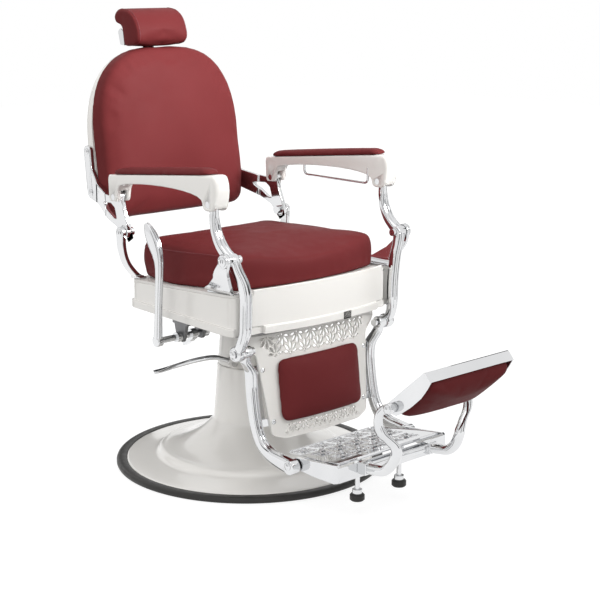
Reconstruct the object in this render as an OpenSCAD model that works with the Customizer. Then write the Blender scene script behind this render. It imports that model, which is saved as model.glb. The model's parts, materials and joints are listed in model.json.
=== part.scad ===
// Hydraulic barber chair. Millimetres, +Z up, the chair faces -Y, the floor is z = 0.
// Every piece is a module of its own. Left pieces are drawn at +X and right pieces are their mirror.

/* [Base] */
// Diameter over the rubber trim
base_d = 700; // [640:5:760]
// Height of the rubber trim
trim_h = 16; // [12:1:24]
// Radial width of the rubber trim
trim_w = 27; // [18:1:36]
// Diameter of the raised step
step_d = 470; // [420:5:520]
// Diameter of the column at its foot
column_foot_d = 190; // [180:2:210]
// Diameter of the column where it turns
column_mid_d = 166; // [164:2:180]
// Height of the fixed part of the column
skirt_h = 262; // [250:2:280]
// Wall of the base
base_wall = 5; // [4:0.5:7]

/* [Pump] */
// Diameter of the ram
ram_d = 60; // [50:2:70]
// Inner diameter of the cylinder
bore_d = 92; // [84:2:96]
// Outer diameter of the cylinder
cylinder_d = 112; // [108:2:116]
// Lift of the seat
lift_travel = 150; // [80:10:150]
// Diameter of the column at its top
column_top_d = 142; // [136:2:150]
// Length of the foot lever
pedal_l = 204; // [160:4:240]
// Thickness of the foot lever
pedal_d = 16; // [14:1:20]

/* [Seat] */
// Width of the apron at the front
frame_front_w = 544; // [520:4:560]
// Width of the apron at the rear
frame_rear_w = 490; // [480:2:510]
// Rear edge of the apron
frame_rear_y = 182; // [176:2:200]
// Height of the apron's lower edge
frame_bottom_z = 419; // [415:1:430]
// Height of the apron's rim at mid depth
rim_mid_z = 502; // [496:1:508]
// Slope of the rim
rim_slope = 3.8; // [2:0.1:5]
// Bow of the front edge
front_bow = 41; // [30:1:46]
// Width of the rim beside the cushion
rim_w = 35; // [34:1:40]
// Height of the cushion above the rim
cushion_h = 84; // [70:2:96]
// Crown of the cushion
cushion_crown = 14; // [6:1:20]

/* [Back] */
// Width of the back
back_w = 460; // [448:2:464]
// Height of the back
back_h = 434; // [420:2:450]
// Lean of the back
back_lean = 8; // [4:0.5:12]
// Thickness of the back cushion at its edge
back_edge_t = 50; // [40:1:56]
// Crown of the back cushion
back_crown = 24; // [14:1:30]
// Depth of the shell
shell_t = 38; // [36:1:42]

/* [Headrest] */
// Width of the headrest
head_w = 172; // [160:2:200]
// Lift of the headrest
head_travel = 90; // [40:5:100]
// Width of the headrest post
post_w = 36; // [28:2:44]

/* [Arms] */
// Width of the arm casting
arm_w = 44; // [42:1:48]
// Splay of the arms towards the front
arm_splay = 2.34; // [2:0.1:2.6]
// Height of the arm pad
arm_pad_h = 20; // [14:1:26]
// Diameter of the pivot pins
pin_d = 10; // [8:1:11]

/* [Legs] */
// Width of the leg
leg_w = 28; // [24:1:28]
// Depth of the leg
leg_t = 23; // [18:1:24]
// Width of the side bars
bar_w = 26; // [20:1:28]
// Diameter of the arms of the flip tray
tray_arm_d = 26; // [20:1:26]
// Depth of the side bars from front to rear
bar_d = 27; // [20:1:28]
// Width of the panel at its top
panel_top_w = 452; // [430:2:456]
// Width of the panel at its foot
panel_foot_w = 322; // [300:2:340]
// Thickness of the panel
panel_t = 4; // [3:0.5:5]
// Width of the legrest pad
rest_pad_w = 272; // [240:2:280]
// Height of the legrest pad
rest_pad_h = 158; // [130:2:160]
// Crown of the legrest pad
rest_crown = 20; // [10:1:26]

/* [Footrest] */
// Width of the tread at its front
tread_front_w = 344; // [320:2:350]
// Width of the tread at its rear
tread_rear_w = 292; // [270:2:300]
// Diameter of the rubber feet
foot_d = 36; // [28:1:42]
// Width of the flip tray
tray_w = 282; // [260:2:284]
// Length of the flip tray
tray_l = 150; // [130:2:160]
// Slope of the flip tray
tray_slope = 41; // [30:1:45]

/* [Clearances] */
// Radial clearance of running fits
run_fit = 0.05; // [0.03:0.01:0.1]
// Side clearance between moving pieces
side_gap = 0.5; // [0.4:0.1:0.8]
// Gap between a cushion and its neighbours
soft_gap = 0.4; // [0.3:0.1:0.6]
// Slack of the open pivot at the arm front
slack = 1.4; // [1.3:0.1:1.8]

/* [Hidden] */
$fn = 64;
// Pivots, as [y, z]
p_back = [166, 614];
p_arm = [188, 702];
p_leg = [-263, 606];
p_front = [-204, 730];
p_flip = [-650, 312];
p_foot = [-380, 122];
p_scroll = [-250, 376];
p_shaft = [-12, 372];
arm_rear_x = 263;
arm_front_x = 279;
// Stack along X at the rear pivot
hub_x = 255.5;
hub_t = 16;
strut_x = hub_x + hub_t + side_gap;
strut_t = 12;
// Stack along X at the front pivot
leg_x = arm_front_x + 1;
tab_x = leg_x + leg_w / 2 + side_gap;
tab_t = 13;
frame_corner_y = -252;
lip_h = 19;
lip_out = 5;
base_r = base_d / 2;
head_z = skirt_h + 2;
head_top_z = 400;
washer_t = 4;
back_origin = [0, 269, 632];
back_rise = 170;
back_foot_w = back_w - 56;
pedal_turn = 63.4;
pedal_off = -76;
pedal_root = [62.6, 285];
panel_lean = 7;
panel_bow_r = 800;
panel_y = -272.6;
panel_z = 264;
rail_t = 8;
rail_span = tread_front_w + 2 * rail_t + 8;
bar_x = rail_span / 2 + 16;
foot_x = 72;
foot_y = -471;
foot_z = 28;
block_x = 110;
tray_x = tray_w / 2;
flip_eye_x = tray_x + 4;
shell_gap = back_edge_t + soft_gap;
post_t = 7;
shell_wall = 5;
post_v = shell_gap + shell_t - shell_wall - post_t / 2 - 2;
pin_w = back_h + 44;
pad_rear_v = post_v - post_t / 2 - 3.6;

// Piece to draw

// Shared functions

function rim_z(y) = rim_mid_z - y * tan(rim_slope);
function mix(a, b, t) = a + (b - a) * t;
function bump(t) = max(0, 1 - t * t);

// Corner of an outline rounded with a radius, as a run of points
function unit(v) = v / norm(v);
function corner(a, b, c, r, n) =
  let (
    u = unit(a - b),
    w = unit(c - b),
    half = acos(max(-1, min(1, u * w))) / 2,
    reach = r / tan(half),
    p = b + u * reach,
    q = b + w * reach
  )
  [for (i = [0 : n]) let (t = i / n) p * (1 - t) * (1 - t) + b * 2 * t * (1 - t) + q * t * t];
function rounded(pts, radii, n = 5) =
  let (m = len(pts))
  [for (i = [0 : m - 1])
    each (radii[i] > 0 ? corner(pts[(i + m - 1) % m], pts[i], pts[(i + 1) % m], radii[i], n) : [pts[i]])];

// Extra points along the long edges of an outline
function dense(pts, step) =
  let (m = len(pts))
  [for (i = [0 : m - 1])
    let (a = pts[i], b = pts[(i + 1) % m], n = max(1, ceil(norm(b - a) / step)))
    each [for (k = [0 : n - 1]) a + (b - a) * k / n]];

// Smooth path through control points
function spline_at(a, b, c, d, t) =
  0.5 * (2 * b + (c - a) * t + (2 * a - 5 * b + 4 * c - d) * t * t
    + (3 * b - a - 3 * c + d) * t * t * t);
function spline(p, n) =
  let (m = len(p))
  concat([for (i = [0 : m - 2], k = [0 : n - 1])
    spline_at(p[max(i - 1, 0)], p[i], p[i + 1], p[min(i + 2, m - 1)], k / n)], [p[m - 1]]);

// Rings of points joined into one closed body
module skin(rings) {
  n = len(rings[0]);
  m = len(rings);
  pts = [for (r = rings) each r];
  low = [for (k = [0 : 2]) [for (p = rings[0]) p[k]] * [for (p = rings[0]) 1] / n];
  high = [for (k = [0 : 2]) [for (p = rings[m - 1]) p[k]] * [for (p = rings[m - 1]) 1] / n];
  sides = [for (i = [0 : m - 2], j = [0 : n - 1])
    each [[i * n + j, (i + 1) * n + j, (i + 1) * n + (j + 1) % n],
      [i * n + j, (i + 1) * n + (j + 1) % n, i * n + (j + 1) % n]]];
  foot = [for (j = [0 : n - 1]) [m * n, j, (j + 1) % n]];
  head = [for (j = [0 : n - 1]) [m * n + 1, (m - 1) * n + (j + 1) % n, (m - 1) * n + j]];
  polyhedron(points = concat(pts, [low, high]), faces = concat(sides, foot, head));
}

// Section swept along a path in the YZ plane; each row is [x, y, z, half width, half depth]
module sweep(path, section) {
  m = len(path);
  rings = [for (i = [0 : m - 1])
    let (
      a = path[max(i - 1, 0)],
      b = path[min(i + 1, m - 1)],
      d = unit([b[1] - a[1], b[2] - a[2]]),
      p = path[i]
    )
    [for (s = section) [p[0] + s[0] * p[3], p[1] + s[1] * p[4] * d[1], p[2] - s[1] * p[4] * d[0]]]];
  skin(rings);
}

function round_section(n) = [for (i = [0 : n - 1]) [cos(360 * i / n), sin(360 * i / n)]];
// Flat bar with rounded edges and three reeds on one face
function reeded_section(face) = let (
    back = [[1, -0.4], [1, 0.4], [0.82, 0.92], [0.5, 1], [-0.5, 1], [-0.82, 0.92], [-1, 0.4], [-1, -0.4]],
    reeds = [[-0.9, -0.8], [-0.62, -1], [-0.36, -0.76], [0, -1], [0.36, -0.76], [0.62, -1], [0.9, -0.8]],
    all = concat(back, reeds)
  )
  face > 0 ? all : [for (i = [len(all) - 1 : -1 : 0]) [all[i][0], -all[i][1]]];

// Arc of points round a centre
function ring_points(c, r, a0, a1, n) = [for (i = [0 : n]) let (a = mix(a0, a1, i / n))
    c + r * [cos(a), sin(a)]];
// Flat strip of half thickness t along a path in the plane
function ribbon(path, t) =
  let (
    m = len(path),
    n = [for (i = [0 : m - 1])
      let (d = unit(path[min(i + 1, m - 1)] - path[max(i - 1, 0)])) [-d[1], d[0]]]
  )
  concat([for (i = [0 : m - 1]) path[i] + n[i] * t], [for (i = [m - 1 : -1 : 0]) path[i] - n[i] * t]);

// Cylinder along X
module xcyl(x0, x1, r, at) {
  translate([x0, at[0], at[1]]) rotate([0, 90, 0]) cylinder(h = x1 - x0, r = r);
}
// Outline in the YZ plane extruded along X
module side(x0, x1) {
  translate([x0, 0, 0]) rotate([90, 0, 90]) linear_extrude(height = x1 - x0) children();
}
// Outline in the XZ plane extruded along Y
module front(y0, y1) {
  translate([0, y1, 0]) rotate([90, 0, 0]) linear_extrude(height = y1 - y0) children();
}
module right() {
  mirror([1, 0, 0]) children();
}
module both() {
  children();
  mirror([1, 0, 0]) children();
}
// Slender leaf between two arcs
module leaf(l, w) {
  r = (l * l / 4 + w * w / 4) / w;
  intersection() {
    translate([0, r - w / 2]) circle(r = r);
    translate([0, w / 2 - r]) circle(r = r);
  }
}

// Base

// Ledge under the flare, which the pump is bolted to from below
ledge_z = 30;
ledge_in_r = step_d / 2 - 45;
ledge_out_r = step_d / 2 - 13;
bolt_r = step_d / 2 - 29;
// Flare of the dish up to the column, set in by a wall
function flare(g) = [for (t = [0 : 0.1 : 1]) let (q = 1 - t) [
  q * q * (step_d / 2 - 16 - g * 0.4) + 2 * q * t * (column_foot_d / 2 + 52 - g * 0.7)
    + t * t * (column_foot_d / 2 - g),
  q * q * (44 - g) + 2 * q * t * (56 - g) + t * t * (116 - g * 0.2)]];
module base_shell() {
  mid_r = column_mid_d / 2;
  step_r = step_d / 2;
  in_r = base_r - trim_w - 0.3;
  w = base_wall;
  inner = flare(w);
  color("white") difference() {
    rotate_extrude($fn = 128) polygon(concat(
      [[in_r - w, 2], [in_r, 2], [in_r, trim_h - 1]],
      [[step_r + 22, 25], [step_r + 7, 28], [step_r + 3, 33], [step_r - 2, 40], [step_r - 10, 43]],
      flare(0),
      [[mid_r, skirt_h], [mid_r - w, skirt_h]],
      [for (i = [10 : -1 : 0]) if (inner[i][0] < ledge_in_r - 4) inner[i]],
      [[ledge_in_r, 46], [ledge_in_r, ledge_z], [ledge_out_r, ledge_z]],
      [[step_r - 4, 31], [step_r + 1, 25], [step_r + 9, 25 - w * 0.8], [in_r - w, trim_h - 2 - w]]));
    for (a = [0 : 60 : 300]) rotate([0, 0, a])
      translate([bolt_r, 0, ledge_z - 1]) cylinder(h = 10, d = 10.2);
  }
}

module base_trim() {
  in_r = base_r - trim_w;
  color("black") rotate_extrude($fn = 128) polygon([[in_r, 0], [base_r - 3, 0], [base_r, 3],
    [base_r, trim_h - 6], [base_r - 2, trim_h - 2], [base_r - 6, trim_h], [in_r + 2, trim_h],
    [in_r, trim_h - 1.5]]);
}

flange_t = 8;
module pump_cylinder() {
  r = cylinder_d / 2;
  z1 = ledge_z - 0.1;
  z0 = z1 - flange_t;
  color("gray") difference() {
    rotate_extrude() polygon([[0, z0], [step_d / 2 - 19, z0], [step_d / 2 - 19, z1], [r, z1],
      [r, skirt_h], [bore_d / 2, skirt_h], [bore_d / 2, z1 + 8], [0, z1 + 8]]);
    for (a = [0 : 60 : 300]) rotate([0, 0, a]) {
      translate([bolt_r, 0, z0 - 1]) cylinder(h = 20, d = 10.4);
      rotate([0, 0, 30]) translate([(r + step_d / 2 - 19) / 2, 0, z0 - 1]) cylinder(h = 20, d = 84);
    }
  }
}
module base_bolts() {
  z0 = ledge_z - 0.2 - flange_t;
  color("gray") for (a = [0 : 60 : 300]) rotate([0, 0, a]) translate([bolt_r, 0, z0]) {
    cylinder(h = flange_t + 8, d = 10);
    translate([0, 0, -7]) cylinder(h = 7, d = 17, $fn = 6);
  }
}
bush_r = cylinder_d / 2 + 6;
module swivel_bush() {
  color("goldenrod") translate([0, 0, 206]) difference() {
    cylinder(h = 54, r = bush_r);
    translate([0, 0, -1]) cylinder(h = 60, r = cylinder_d / 2 + run_fit);
  }
}
module thrust_washer() {
  color("goldenrod") translate([0, 0, skirt_h + 0.02]) difference() {
    cylinder(h = washer_t, r = cylinder_d / 2 - 1);
    translate([0, 0, -1]) cylinder(h = 10, r = bore_d / 2 + 2);
  }
}

// Pump head

module pump_head() {
  top_r = column_top_d / 2;
  mid_r = column_mid_d / 2;
  sleeve_r = bush_r + run_fit;
  color("white") difference() {
    union() {
      rotate_extrude() polygon([[sleeve_r, 212], [sleeve_r + 8, 212], [sleeve_r + 8, head_z],
        [mid_r - 0.6, head_z], [top_r, head_top_z - 5], [top_r - 5, head_top_z],
        [ram_d / 2 + run_fit, head_top_z], [ram_d / 2 + run_fit, head_top_z - 26],
        [top_r - 12, head_top_z - 30], [mid_r - 18, 310],
        [bore_d / 2 + 2, 300], [bore_d / 2 + 2, skirt_h + washer_t + 0.4],
        [sleeve_r, skirt_h + washer_t + 0.4]]);
      rotate([0, 0, pedal_turn]) translate([pedal_off, 0, 0]) difference() {
        union() {
          side(-14, 14) polygon([[8, 268], [pedal_root[0], 270], [pedal_root[0] + 10, 274],
            [pedal_root[0] + 15, pedal_root[1]], [pedal_root[0] + 10, 296], [pedal_root[0], 300], [8,
                318]]);
        }
        translate([-pedal_d / 2 - side_gap, 40, 260])
          cube([pedal_d + 2 * side_gap, 60, 80]);
      }
    }
    translate([0, 0, skirt_h - 60]) cylinder(h = 60 + washer_t + 0.4, r = sleeve_r);
    translate([0, 0, skirt_h]) cylinder(h = 40, r = bore_d / 2 + 2);
    rotate([0, 0, pedal_turn]) translate([pedal_off, 0, 0]) xcyl(-40, 40, 5 + 0.02, pedal_root);
  }
}
module lever_pin() {
  color("silver") rotate([0, 0, pedal_turn]) translate([pedal_off, 0, 0]) {
    xcyl(-19, 14.05, 5, pedal_root);
    xcyl(-19, -14.1, 8, pedal_root);
  }
}
module pump_lever() {
  r = pedal_d / 2;
  y0 = pedal_root[0];
  z0 = pedal_root[1];
  s = r - 1.5;
  path = spline([[0, y0, z0, s, s], [0, y0 + 26, z0 + 10, s, s], [0, y0 + 52, z0 + 16, s, s],
    [0, y0 + 96, z0 + 12, s, s], [0, y0 + pedal_l * 0.72, z0 + 1, s + 1, s - 1],
    [0, y0 + pedal_l * 0.86, z0 - 6, s + 7, s - 2.5], [0, y0 + pedal_l * 0.96, z0 - 10, s + 9, s - 3],
    [0, y0 + pedal_l, z0 - 11, s + 4, s - 3.5]], 3);
  color("silver") rotate([0, 0, pedal_turn]) translate([pedal_off, 0, 0]) difference() {
    union() {
      sweep(path, round_section(14));
      xcyl(-r, r, 12, pedal_root);
    }
    xcyl(-40, 40, 5 + run_fit, pedal_root);
  }
}

// Seat

function seat_plan(g, rear = undef) =
  let (
    hf = frame_front_w / 2 - g,
    hr = frame_rear_w / 2 - g,
    yr = frame_rear_y - (rear == undef ? g : rear),
    yc = frame_corner_y + g,
    arc = [for (k = [-0.8 : 0.2 : 0.81]) [hf * k, yc - front_bow * (1 - k * k)]],
    pts = concat([[-hf, yc]], arc, [[hf, yc], [hr, yr], [-hr, yr]]),
    radii = concat([30 - g * 0.2], [for (k = arc) 0], [30 - g * 0.2, 38 - g * 0.2, 38 - g * 0.2])
  )
  rounded(pts, radii, 6);

module lift_ram() {
  color("silver") rotate_extrude() polygon([[0, 60], [bore_d / 2 - run_fit, 60],
    [bore_d / 2 - run_fit, 92], [ram_d / 2, 92], [ram_d / 2, head_top_z + 2],
    [ram_d / 2 + 36, head_top_z + 2], [ram_d / 2 + 36, frame_bottom_z - 8.5], [0, frame_bottom_z - 8.5]]);
}
module seat_plate() {
  color("dimgray") translate([0, 0, frame_bottom_z - 8.4]) difference() {
    linear_extrude(height = 8.3) polygon(seat_plan(22));
    for (s = [[-180, -170], [180, -170], [-180, 120], [180, 120]])
      translate([s[0], s[1], -1]) cylinder(h = 12, d = 10.4);
    translate([-90, -150, -1]) cube([180, 70, 12]);
  }
}
module seat_plate_bolts() {
  color("silver") for (s = [[-180, -170], [180, -170], [-180, 120], [180, 120]])
    translate([s[0], s[1], frame_bottom_z - 16]) {
      cylinder(h = 30, d = 10);
      cylinder(h = 7.4, d = 17, $fn = 6);
    }
}
// Raised front edge of the frame between the legs; the board stops behind it
front_edge_h = 8;
front_edge_t = 5.6;
module front_edge(g, below, above) {
  intersection() {
    translate([0, 0, frame_bottom_z]) linear_extrude(height = 180) difference() {
      polygon(seat_plan(0));
      polygon(seat_plan(g));
    }
    side(-216, 216) polygon([[-330, rim_z(-330) - below], [-200, rim_z(-200) - below],
      [-200, rim_z(-200) + above], [-330, rim_z(-330) + above]]);
  }
}
module seat_frame() {
  front_edge(front_edge_t, 12, front_edge_h);
  frame_tub();
}
module frame_tub() {
  lip_z = frame_bottom_z + lip_h;
  color("white") difference() {
    union() {
      translate([0, 0, frame_bottom_z]) linear_extrude(height = 140) polygon(seat_plan(0));
      translate([0, 0, frame_bottom_z]) linear_extrude(height = lip_h) polygon(seat_plan(-lip_out));
    }
    translate([0, 0, lip_z - 8]) linear_extrude(height = 160) polygon(seat_plan(6));
    translate([0, 0, frame_bottom_z - 1]) linear_extrude(height = 60) polygon(seat_plan(64));
    side(-400, 400) polygon([[-420, rim_z(-420) - 6.5], [320, rim_z(320) - 6.5], [320, 700], [-420,
        700]]);
    both() {
      translate([224, -330, frame_bottom_z - 1]) cube([80, 75, 160]);
      translate([190, -330, frame_bottom_z - 1]) cube([80, 63, lip_h + 1]);
      translate([180, 120, frame_bottom_z - 1]) cylinder(h = 30, d = 10.4);
      translate([180, -170, frame_bottom_z - 1]) cylinder(h = 30, d = 10.4);
    }
    translate([54, -330, frame_bottom_z + 2]) cube([24, 80, 14]);
  }
}
module seat_board() {
  color("burlywood") difference() {
    translate([0, 0, rim_mid_z - 60]) linear_extrude(height = 120) polygon(seat_plan(0.6));
    side(-400, 400) polygon([[-420, rim_z(-420)], [320, rim_z(320)], [320, 700], [-420, 700]]);
    side(-400, 400) polygon([[-420, rim_z(-420) - 6.4], [320, rim_z(320) - 6.4], [320, 300], [-420,
        300]]);
    both() translate([224, -330, frame_bottom_z - 1]) cube([80, 76, 160]);
    front_edge(front_edge_t + 0.4, 20, 40);
  }
}
// Height of a point of the seat cushion; h runs from the rim to the top edge
function seat_z(x, y, h, up) =
  let (
    rim = rim_z(y) + soft_gap,
    top = rim_mid_z + cushion_h + 10 - y * 0.03,
    drop = 20 * bump(x / 190) * max(0, min(1, (-y - 90) / 150))
  )
  mix(rim, top - drop, h) + up;
// The sides swell towards the edge of the frame, and draw in low down at the feet of the brackets
side_swell = 22;
rear_swell = 8;
function foot_zone(y) = max(0, min(1, max((-y - 112) / 34, (y - 100) / 36)));
function low_down(h) = max(0, min(1, (0.45 - h) / 0.25));
function swell(y, h) = side_swell * bump((y + 6) / 118) * (1 - 0.75 * h)
  + rear_swell * max(0, min(1, (y + 150) / 300)) * (1 - foot_zone(y) * low_down(h));
function seat_half(y) = mix(frame_front_w / 2, frame_rear_w / 2,
  (y - frame_corner_y) / (frame_rear_y - frame_corner_y)) - rim_w;
// The straight sides of the seat outline run from its points 22 and 36 and get more points here
function cushion_plan(g, rear) = let (p = seat_plan(g, rear), m = len(p))
  [for (i = [0 : m - 1]) let (n = (i == 22 || i == m - 1) ? 7 : 1)
    each [for (k = [0 : n - 1]) mix(p[i], p[(i + 1) % m], k / n)]];
function cushion_ring(g, rear, h) = [for (p = cushion_plan(rim_w + g, rear + g))
  [p[0] * (1 + swell(p[1], h) / seat_half(p[1])), p[1]]];
module seat_cushion() {
  levels = [[0, 4, 0], [0.05, 1, 0], [0.12, -1, 0], [0.2, -2, 0], [0.32, -3, 0], [0.45, -3.5, 0],
    [0.7, -2.5, 0], [0.86, 0, 0], [0.94, 3, 0], [0.985, 7.5, 0], [1, 15, 0.6]];
  lower = [for (k = levels) [for (p = cushion_ring(k[1], 10, k[0]))
    [p[0], p[1], seat_z(p[0], p[1], k[0], k[2])]]];
  mid = [0, -50];
  upper = [for (f = [0.86, 0.66, 0.42, 0.18]) [for (p = cushion_ring(15, 10, 1))
    let (q = mid + (p - mid) * f) [q[0], q[1], seat_z(q[0], q[1], 1, 0.6 + cushion_crown * (1 - f * f))]]];
  color("firebrick") skin(concat(lower, upper));
}

module front_bracket_left() {
  z0 = rim_z(-200) + 3.5;
  spine = spline([[248, z0], [258, z0 + 1], [270, z0 + 9], [288, p_leg[1] - 50], [tab_x + 5,
      p_leg[1] - 27],
    [tab_x + 5, p_leg[1] - 4], [tab_x + 5, p_leg[1] + 30]], 5);
  color("silver") difference() {
    union() {
      intersection() {
        front(-300, -140) polygon(ribbon(spine, 4.5));
        side(200, 330) polygon(concat(
          [[-154, 400], [-154, z0 + 6], [-180, z0 + 18], [-214, p_leg[1] - 46]],
          ring_points(p_leg, 17, -10, 190, 12),
          [[-270, p_leg[1] - 40], [-256, z0 + 14], [-251, z0 + 6], [-251, 400]]));
      }
      translate([242, -251, z0 - 12]) cube([22, 97, 14]);
      xcyl(tab_x, tab_x + tab_t, 16, p_leg);
    }
    side(200, 330) polygon([[-420, rim_z(-420) + 0.02], [320, rim_z(320) + 0.02], [320, 300], [-420,
        300]]);
    xcyl(tab_x - 30, tab_x + 40, 6 + run_fit, p_leg);
  }
}
module front_bracket_right() {
  right() front_bracket_left();
}
module rear_strut_left() {
  z0 = rim_z(166);
  xm = strut_x + strut_t / 2;
  spine = spline([[222, z0 + 2], [234, z0 + 8], [248, z0 + 22], [264, z0 + 44], [xm - 4, p_back[1] - 52],
    [xm, p_back[1] - 26], [xm, p_back[1]], [xm, p_back[1] + 12]], 5);
  color("silver") difference() {
    union() {
      intersection() {
        front(100, 220) polygon(ribbon(spine, strut_t / 2));
        side(200, 330) polygon(concat([[152, 400], [152, z0 + 14], [154, z0 + 60]],
          ring_points(p_back, 14, 180, 0, 12), [[178, z0 + 60], [180, z0 + 14], [180, 400]]));
      }
      translate([216, 146, z0 - 10]) cube([24, 36, 16]);
      xcyl(strut_x, strut_x + strut_t, 15, p_back);
    }
    side(200, 330) polygon([[-420, rim_z(-420) + 0.02], [320, rim_z(320) + 0.02], [320, 300], [-420,
        300]]);
    translate([strut_x + strut_t, 100, 540]) cube([20, 120, 120]);
    xcyl(strut_x - 30, strut_x + 40, 7 + run_fit, p_back);
  }
}
module rear_strut_right() {
  right() rear_strut_left();
}
module dome(x, r, h, at) {
  translate([x, at[0], at[1]]) rotate([0, 90, 0]) intersection() {
    cylinder(h = h, r = r);
    translate([0, 0, h - r * 1.3]) sphere(r = r * 1.3);
  }
}
module front_pivot_bolts() {
  x0 = leg_x - leg_w / 2 - 4.5;
  color("silver") both() {
    xcyl(x0 - 8, tab_x + tab_t + 4, 6, p_leg);
    dome(tab_x + tab_t + 0.1, 12, 7, p_leg);
    xcyl(x0 - 8, x0, 9, p_leg);
  }
}
module rear_pivot_bolts() {
  x1 = strut_x + strut_t;
  color("silver") both() {
    xcyl(hub_x - 12, x1 + 3, 7, p_back);
    dome(x1 + 0.1, 11, 6, p_back);
    xcyl(hub_x - 12, hub_x - side_gap, 11, p_back);
  }
}

// Recline lever

lever_x = -305;
module lever_bracket() {
  color("dimgray") difference() {
    union() {
      translate([-236, p_shaft[0] - 30, frame_bottom_z - 16.5]) cube([70, 60, 8]);
      for (x = [-236, -176]) side(x, x + 10) polygon([[p_shaft[0] - 24, frame_bottom_z - 12],
        [p_shaft[0] - 14, p_shaft[1] - 4], [p_shaft[0] - 9, p_shaft[1] - 13], [p_shaft[0] + 9,
            p_shaft[1] - 13],
        [p_shaft[0] + 14, p_shaft[1] - 4], [p_shaft[0] + 24, frame_bottom_z - 12]]);
    }
    xcyl(-300, -100, 8 + run_fit, p_shaft);
  }
}
module lever_shaft() {
  color("silver") difference() {
    union() {
      xcyl(lever_x + 8, -150, 8, p_shaft);
      xcyl(-250, -237, 13, p_shaft);
      xcyl(-165, -152, 13, p_shaft);
      side(-206, -190) polygon([[p_shaft[0] - 6, p_shaft[1] - 12], [p_shaft[0] + 6, p_shaft[1] - 12],
        [p_shaft[0] + 30, p_shaft[1] - 26], [p_shaft[0] + 26, p_shaft[1] - 34], [p_shaft[0],
            p_shaft[1] - 18]]);
      xcyl(-206, -190, 14, p_shaft);
    }
  }
}
module recline_lever() {
  y0 = p_shaft[0];
  z0 = p_shaft[1];
  path = spline([[lever_x, y0, z0 - 12, 7, 9], [lever_x, y0, z0, 9, 11], [lever_x, y0 - 4, z0 + 60, 8, 9],
    [lever_x, y0 - 9, z0 + 130, 8, 9], [lever_x, y0 - 12, z0 + 185, 8, 11],
    [lever_x, y0 - 7, z0 + 215, 9, 15], [lever_x, y0 + 6, z0 + 242, 10, 19],
    [lever_x, y0 + 22, z0 + 266, 9, 16], [lever_x, y0 + 36, z0 + 286, 5, 7]], 3);
  color("silver") difference() {
    union() {
      sweep(path, reeded_section(1));
      xcyl(lever_x - 8, lever_x + 10, 14, p_shaft);
    }
    xcyl(lever_x + 8 - run_fit, lever_x + 40, 8 + run_fit, p_shaft);
  }
}

// Back

module in_back() {
  translate(back_origin) rotate([-back_lean, 0, 0]) children();
}
function back_plan(g) =
  let (
    a = back_w / 2 - g,
    b = back_h - back_rise - g,
    arch = [for (t = [0 : 7.5 : 180]) [
      a * sign(cos(t)) * pow(abs(cos(t)), 0.78), back_rise + b * pow(sin(t), 0.8)]],
    hb = back_foot_w / 2 - g,
    k = corner([-a, back_rise * 0.5], [-hb - 2, g], [0, g], 46 - g * 0.5, 6),
    side_l = [[-a + 1, back_rise * 0.72], [-a + 5, back_rise * 0.46]]
  )
  concat(arch, side_l, k, [[-hb * 0.4, g], [hb * 0.4, g]],
    [for (i = [6 : -1 : 0]) [-k[i][0], k[i][1]]],
    [for (i = [1 : -1 : 0]) [-side_l[i][0], side_l[i][1]]]);
// Outline of the back at a depth, as points of the leaning frame
function back_ring(g, v) = [for (p = back_plan(g)) [p[0], v, p[1]]];
module back_shell() {
  v0 = shell_gap;
  v1 = v0 + shell_t;
  a = back_w / 2;
  color("white") in_back() difference() {
    union() {
      skin([back_ring(44, v1), back_ring(22, v1 - 1), back_ring(10, v1 - 4), back_ring(3, v1 - 10),
        back_ring(0, v1 - 18), back_ring(0, v0), back_ring(12, v0), back_ring(12, v1 - shell_wall)]);
      both() for (i = [0, 1]) translate([a - 46, v0 + 1, screw_w[i] - 14])
        cube([32 + 7 * i, shell_t - 4.5, 28]);
    }
    translate([-post_w / 2 - 8, v0 + 1.5, back_h - 20]) cube([post_w + 16, shell_t - shell_wall - 2.2,
        50]);
    both() for (w = screw_w) translate([a - 40, screw_v, w]) rotate([0, 90, 0]) cylinder(h = 80, d = 8.4);
  }
}
module back_cushion() {
  rear = [back_ring(6, back_edge_t), back_ring(1.5, back_edge_t - 5), back_ring(0, back_edge_t - 14),
    back_ring(0, back_edge_t * 0.45), back_ring(1.5, 10), back_ring(6, 3), back_ring(13, -2),
        back_ring(24, -5)];
  mid = [0, back_h * 0.46];
  crown = [for (f = [0.82, 0.62, 0.38, 0.15]) [for (p = back_plan(24))
    let (q = mid + (p - mid) * f) [q[0], -5 - (back_crown - 5) * (1 - f * f), q[1]]]];
  color("firebrick") in_back() skin(concat(rear, crown));
}
screw_v = shell_gap + 14;
screw_w = [71, 177];
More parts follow.
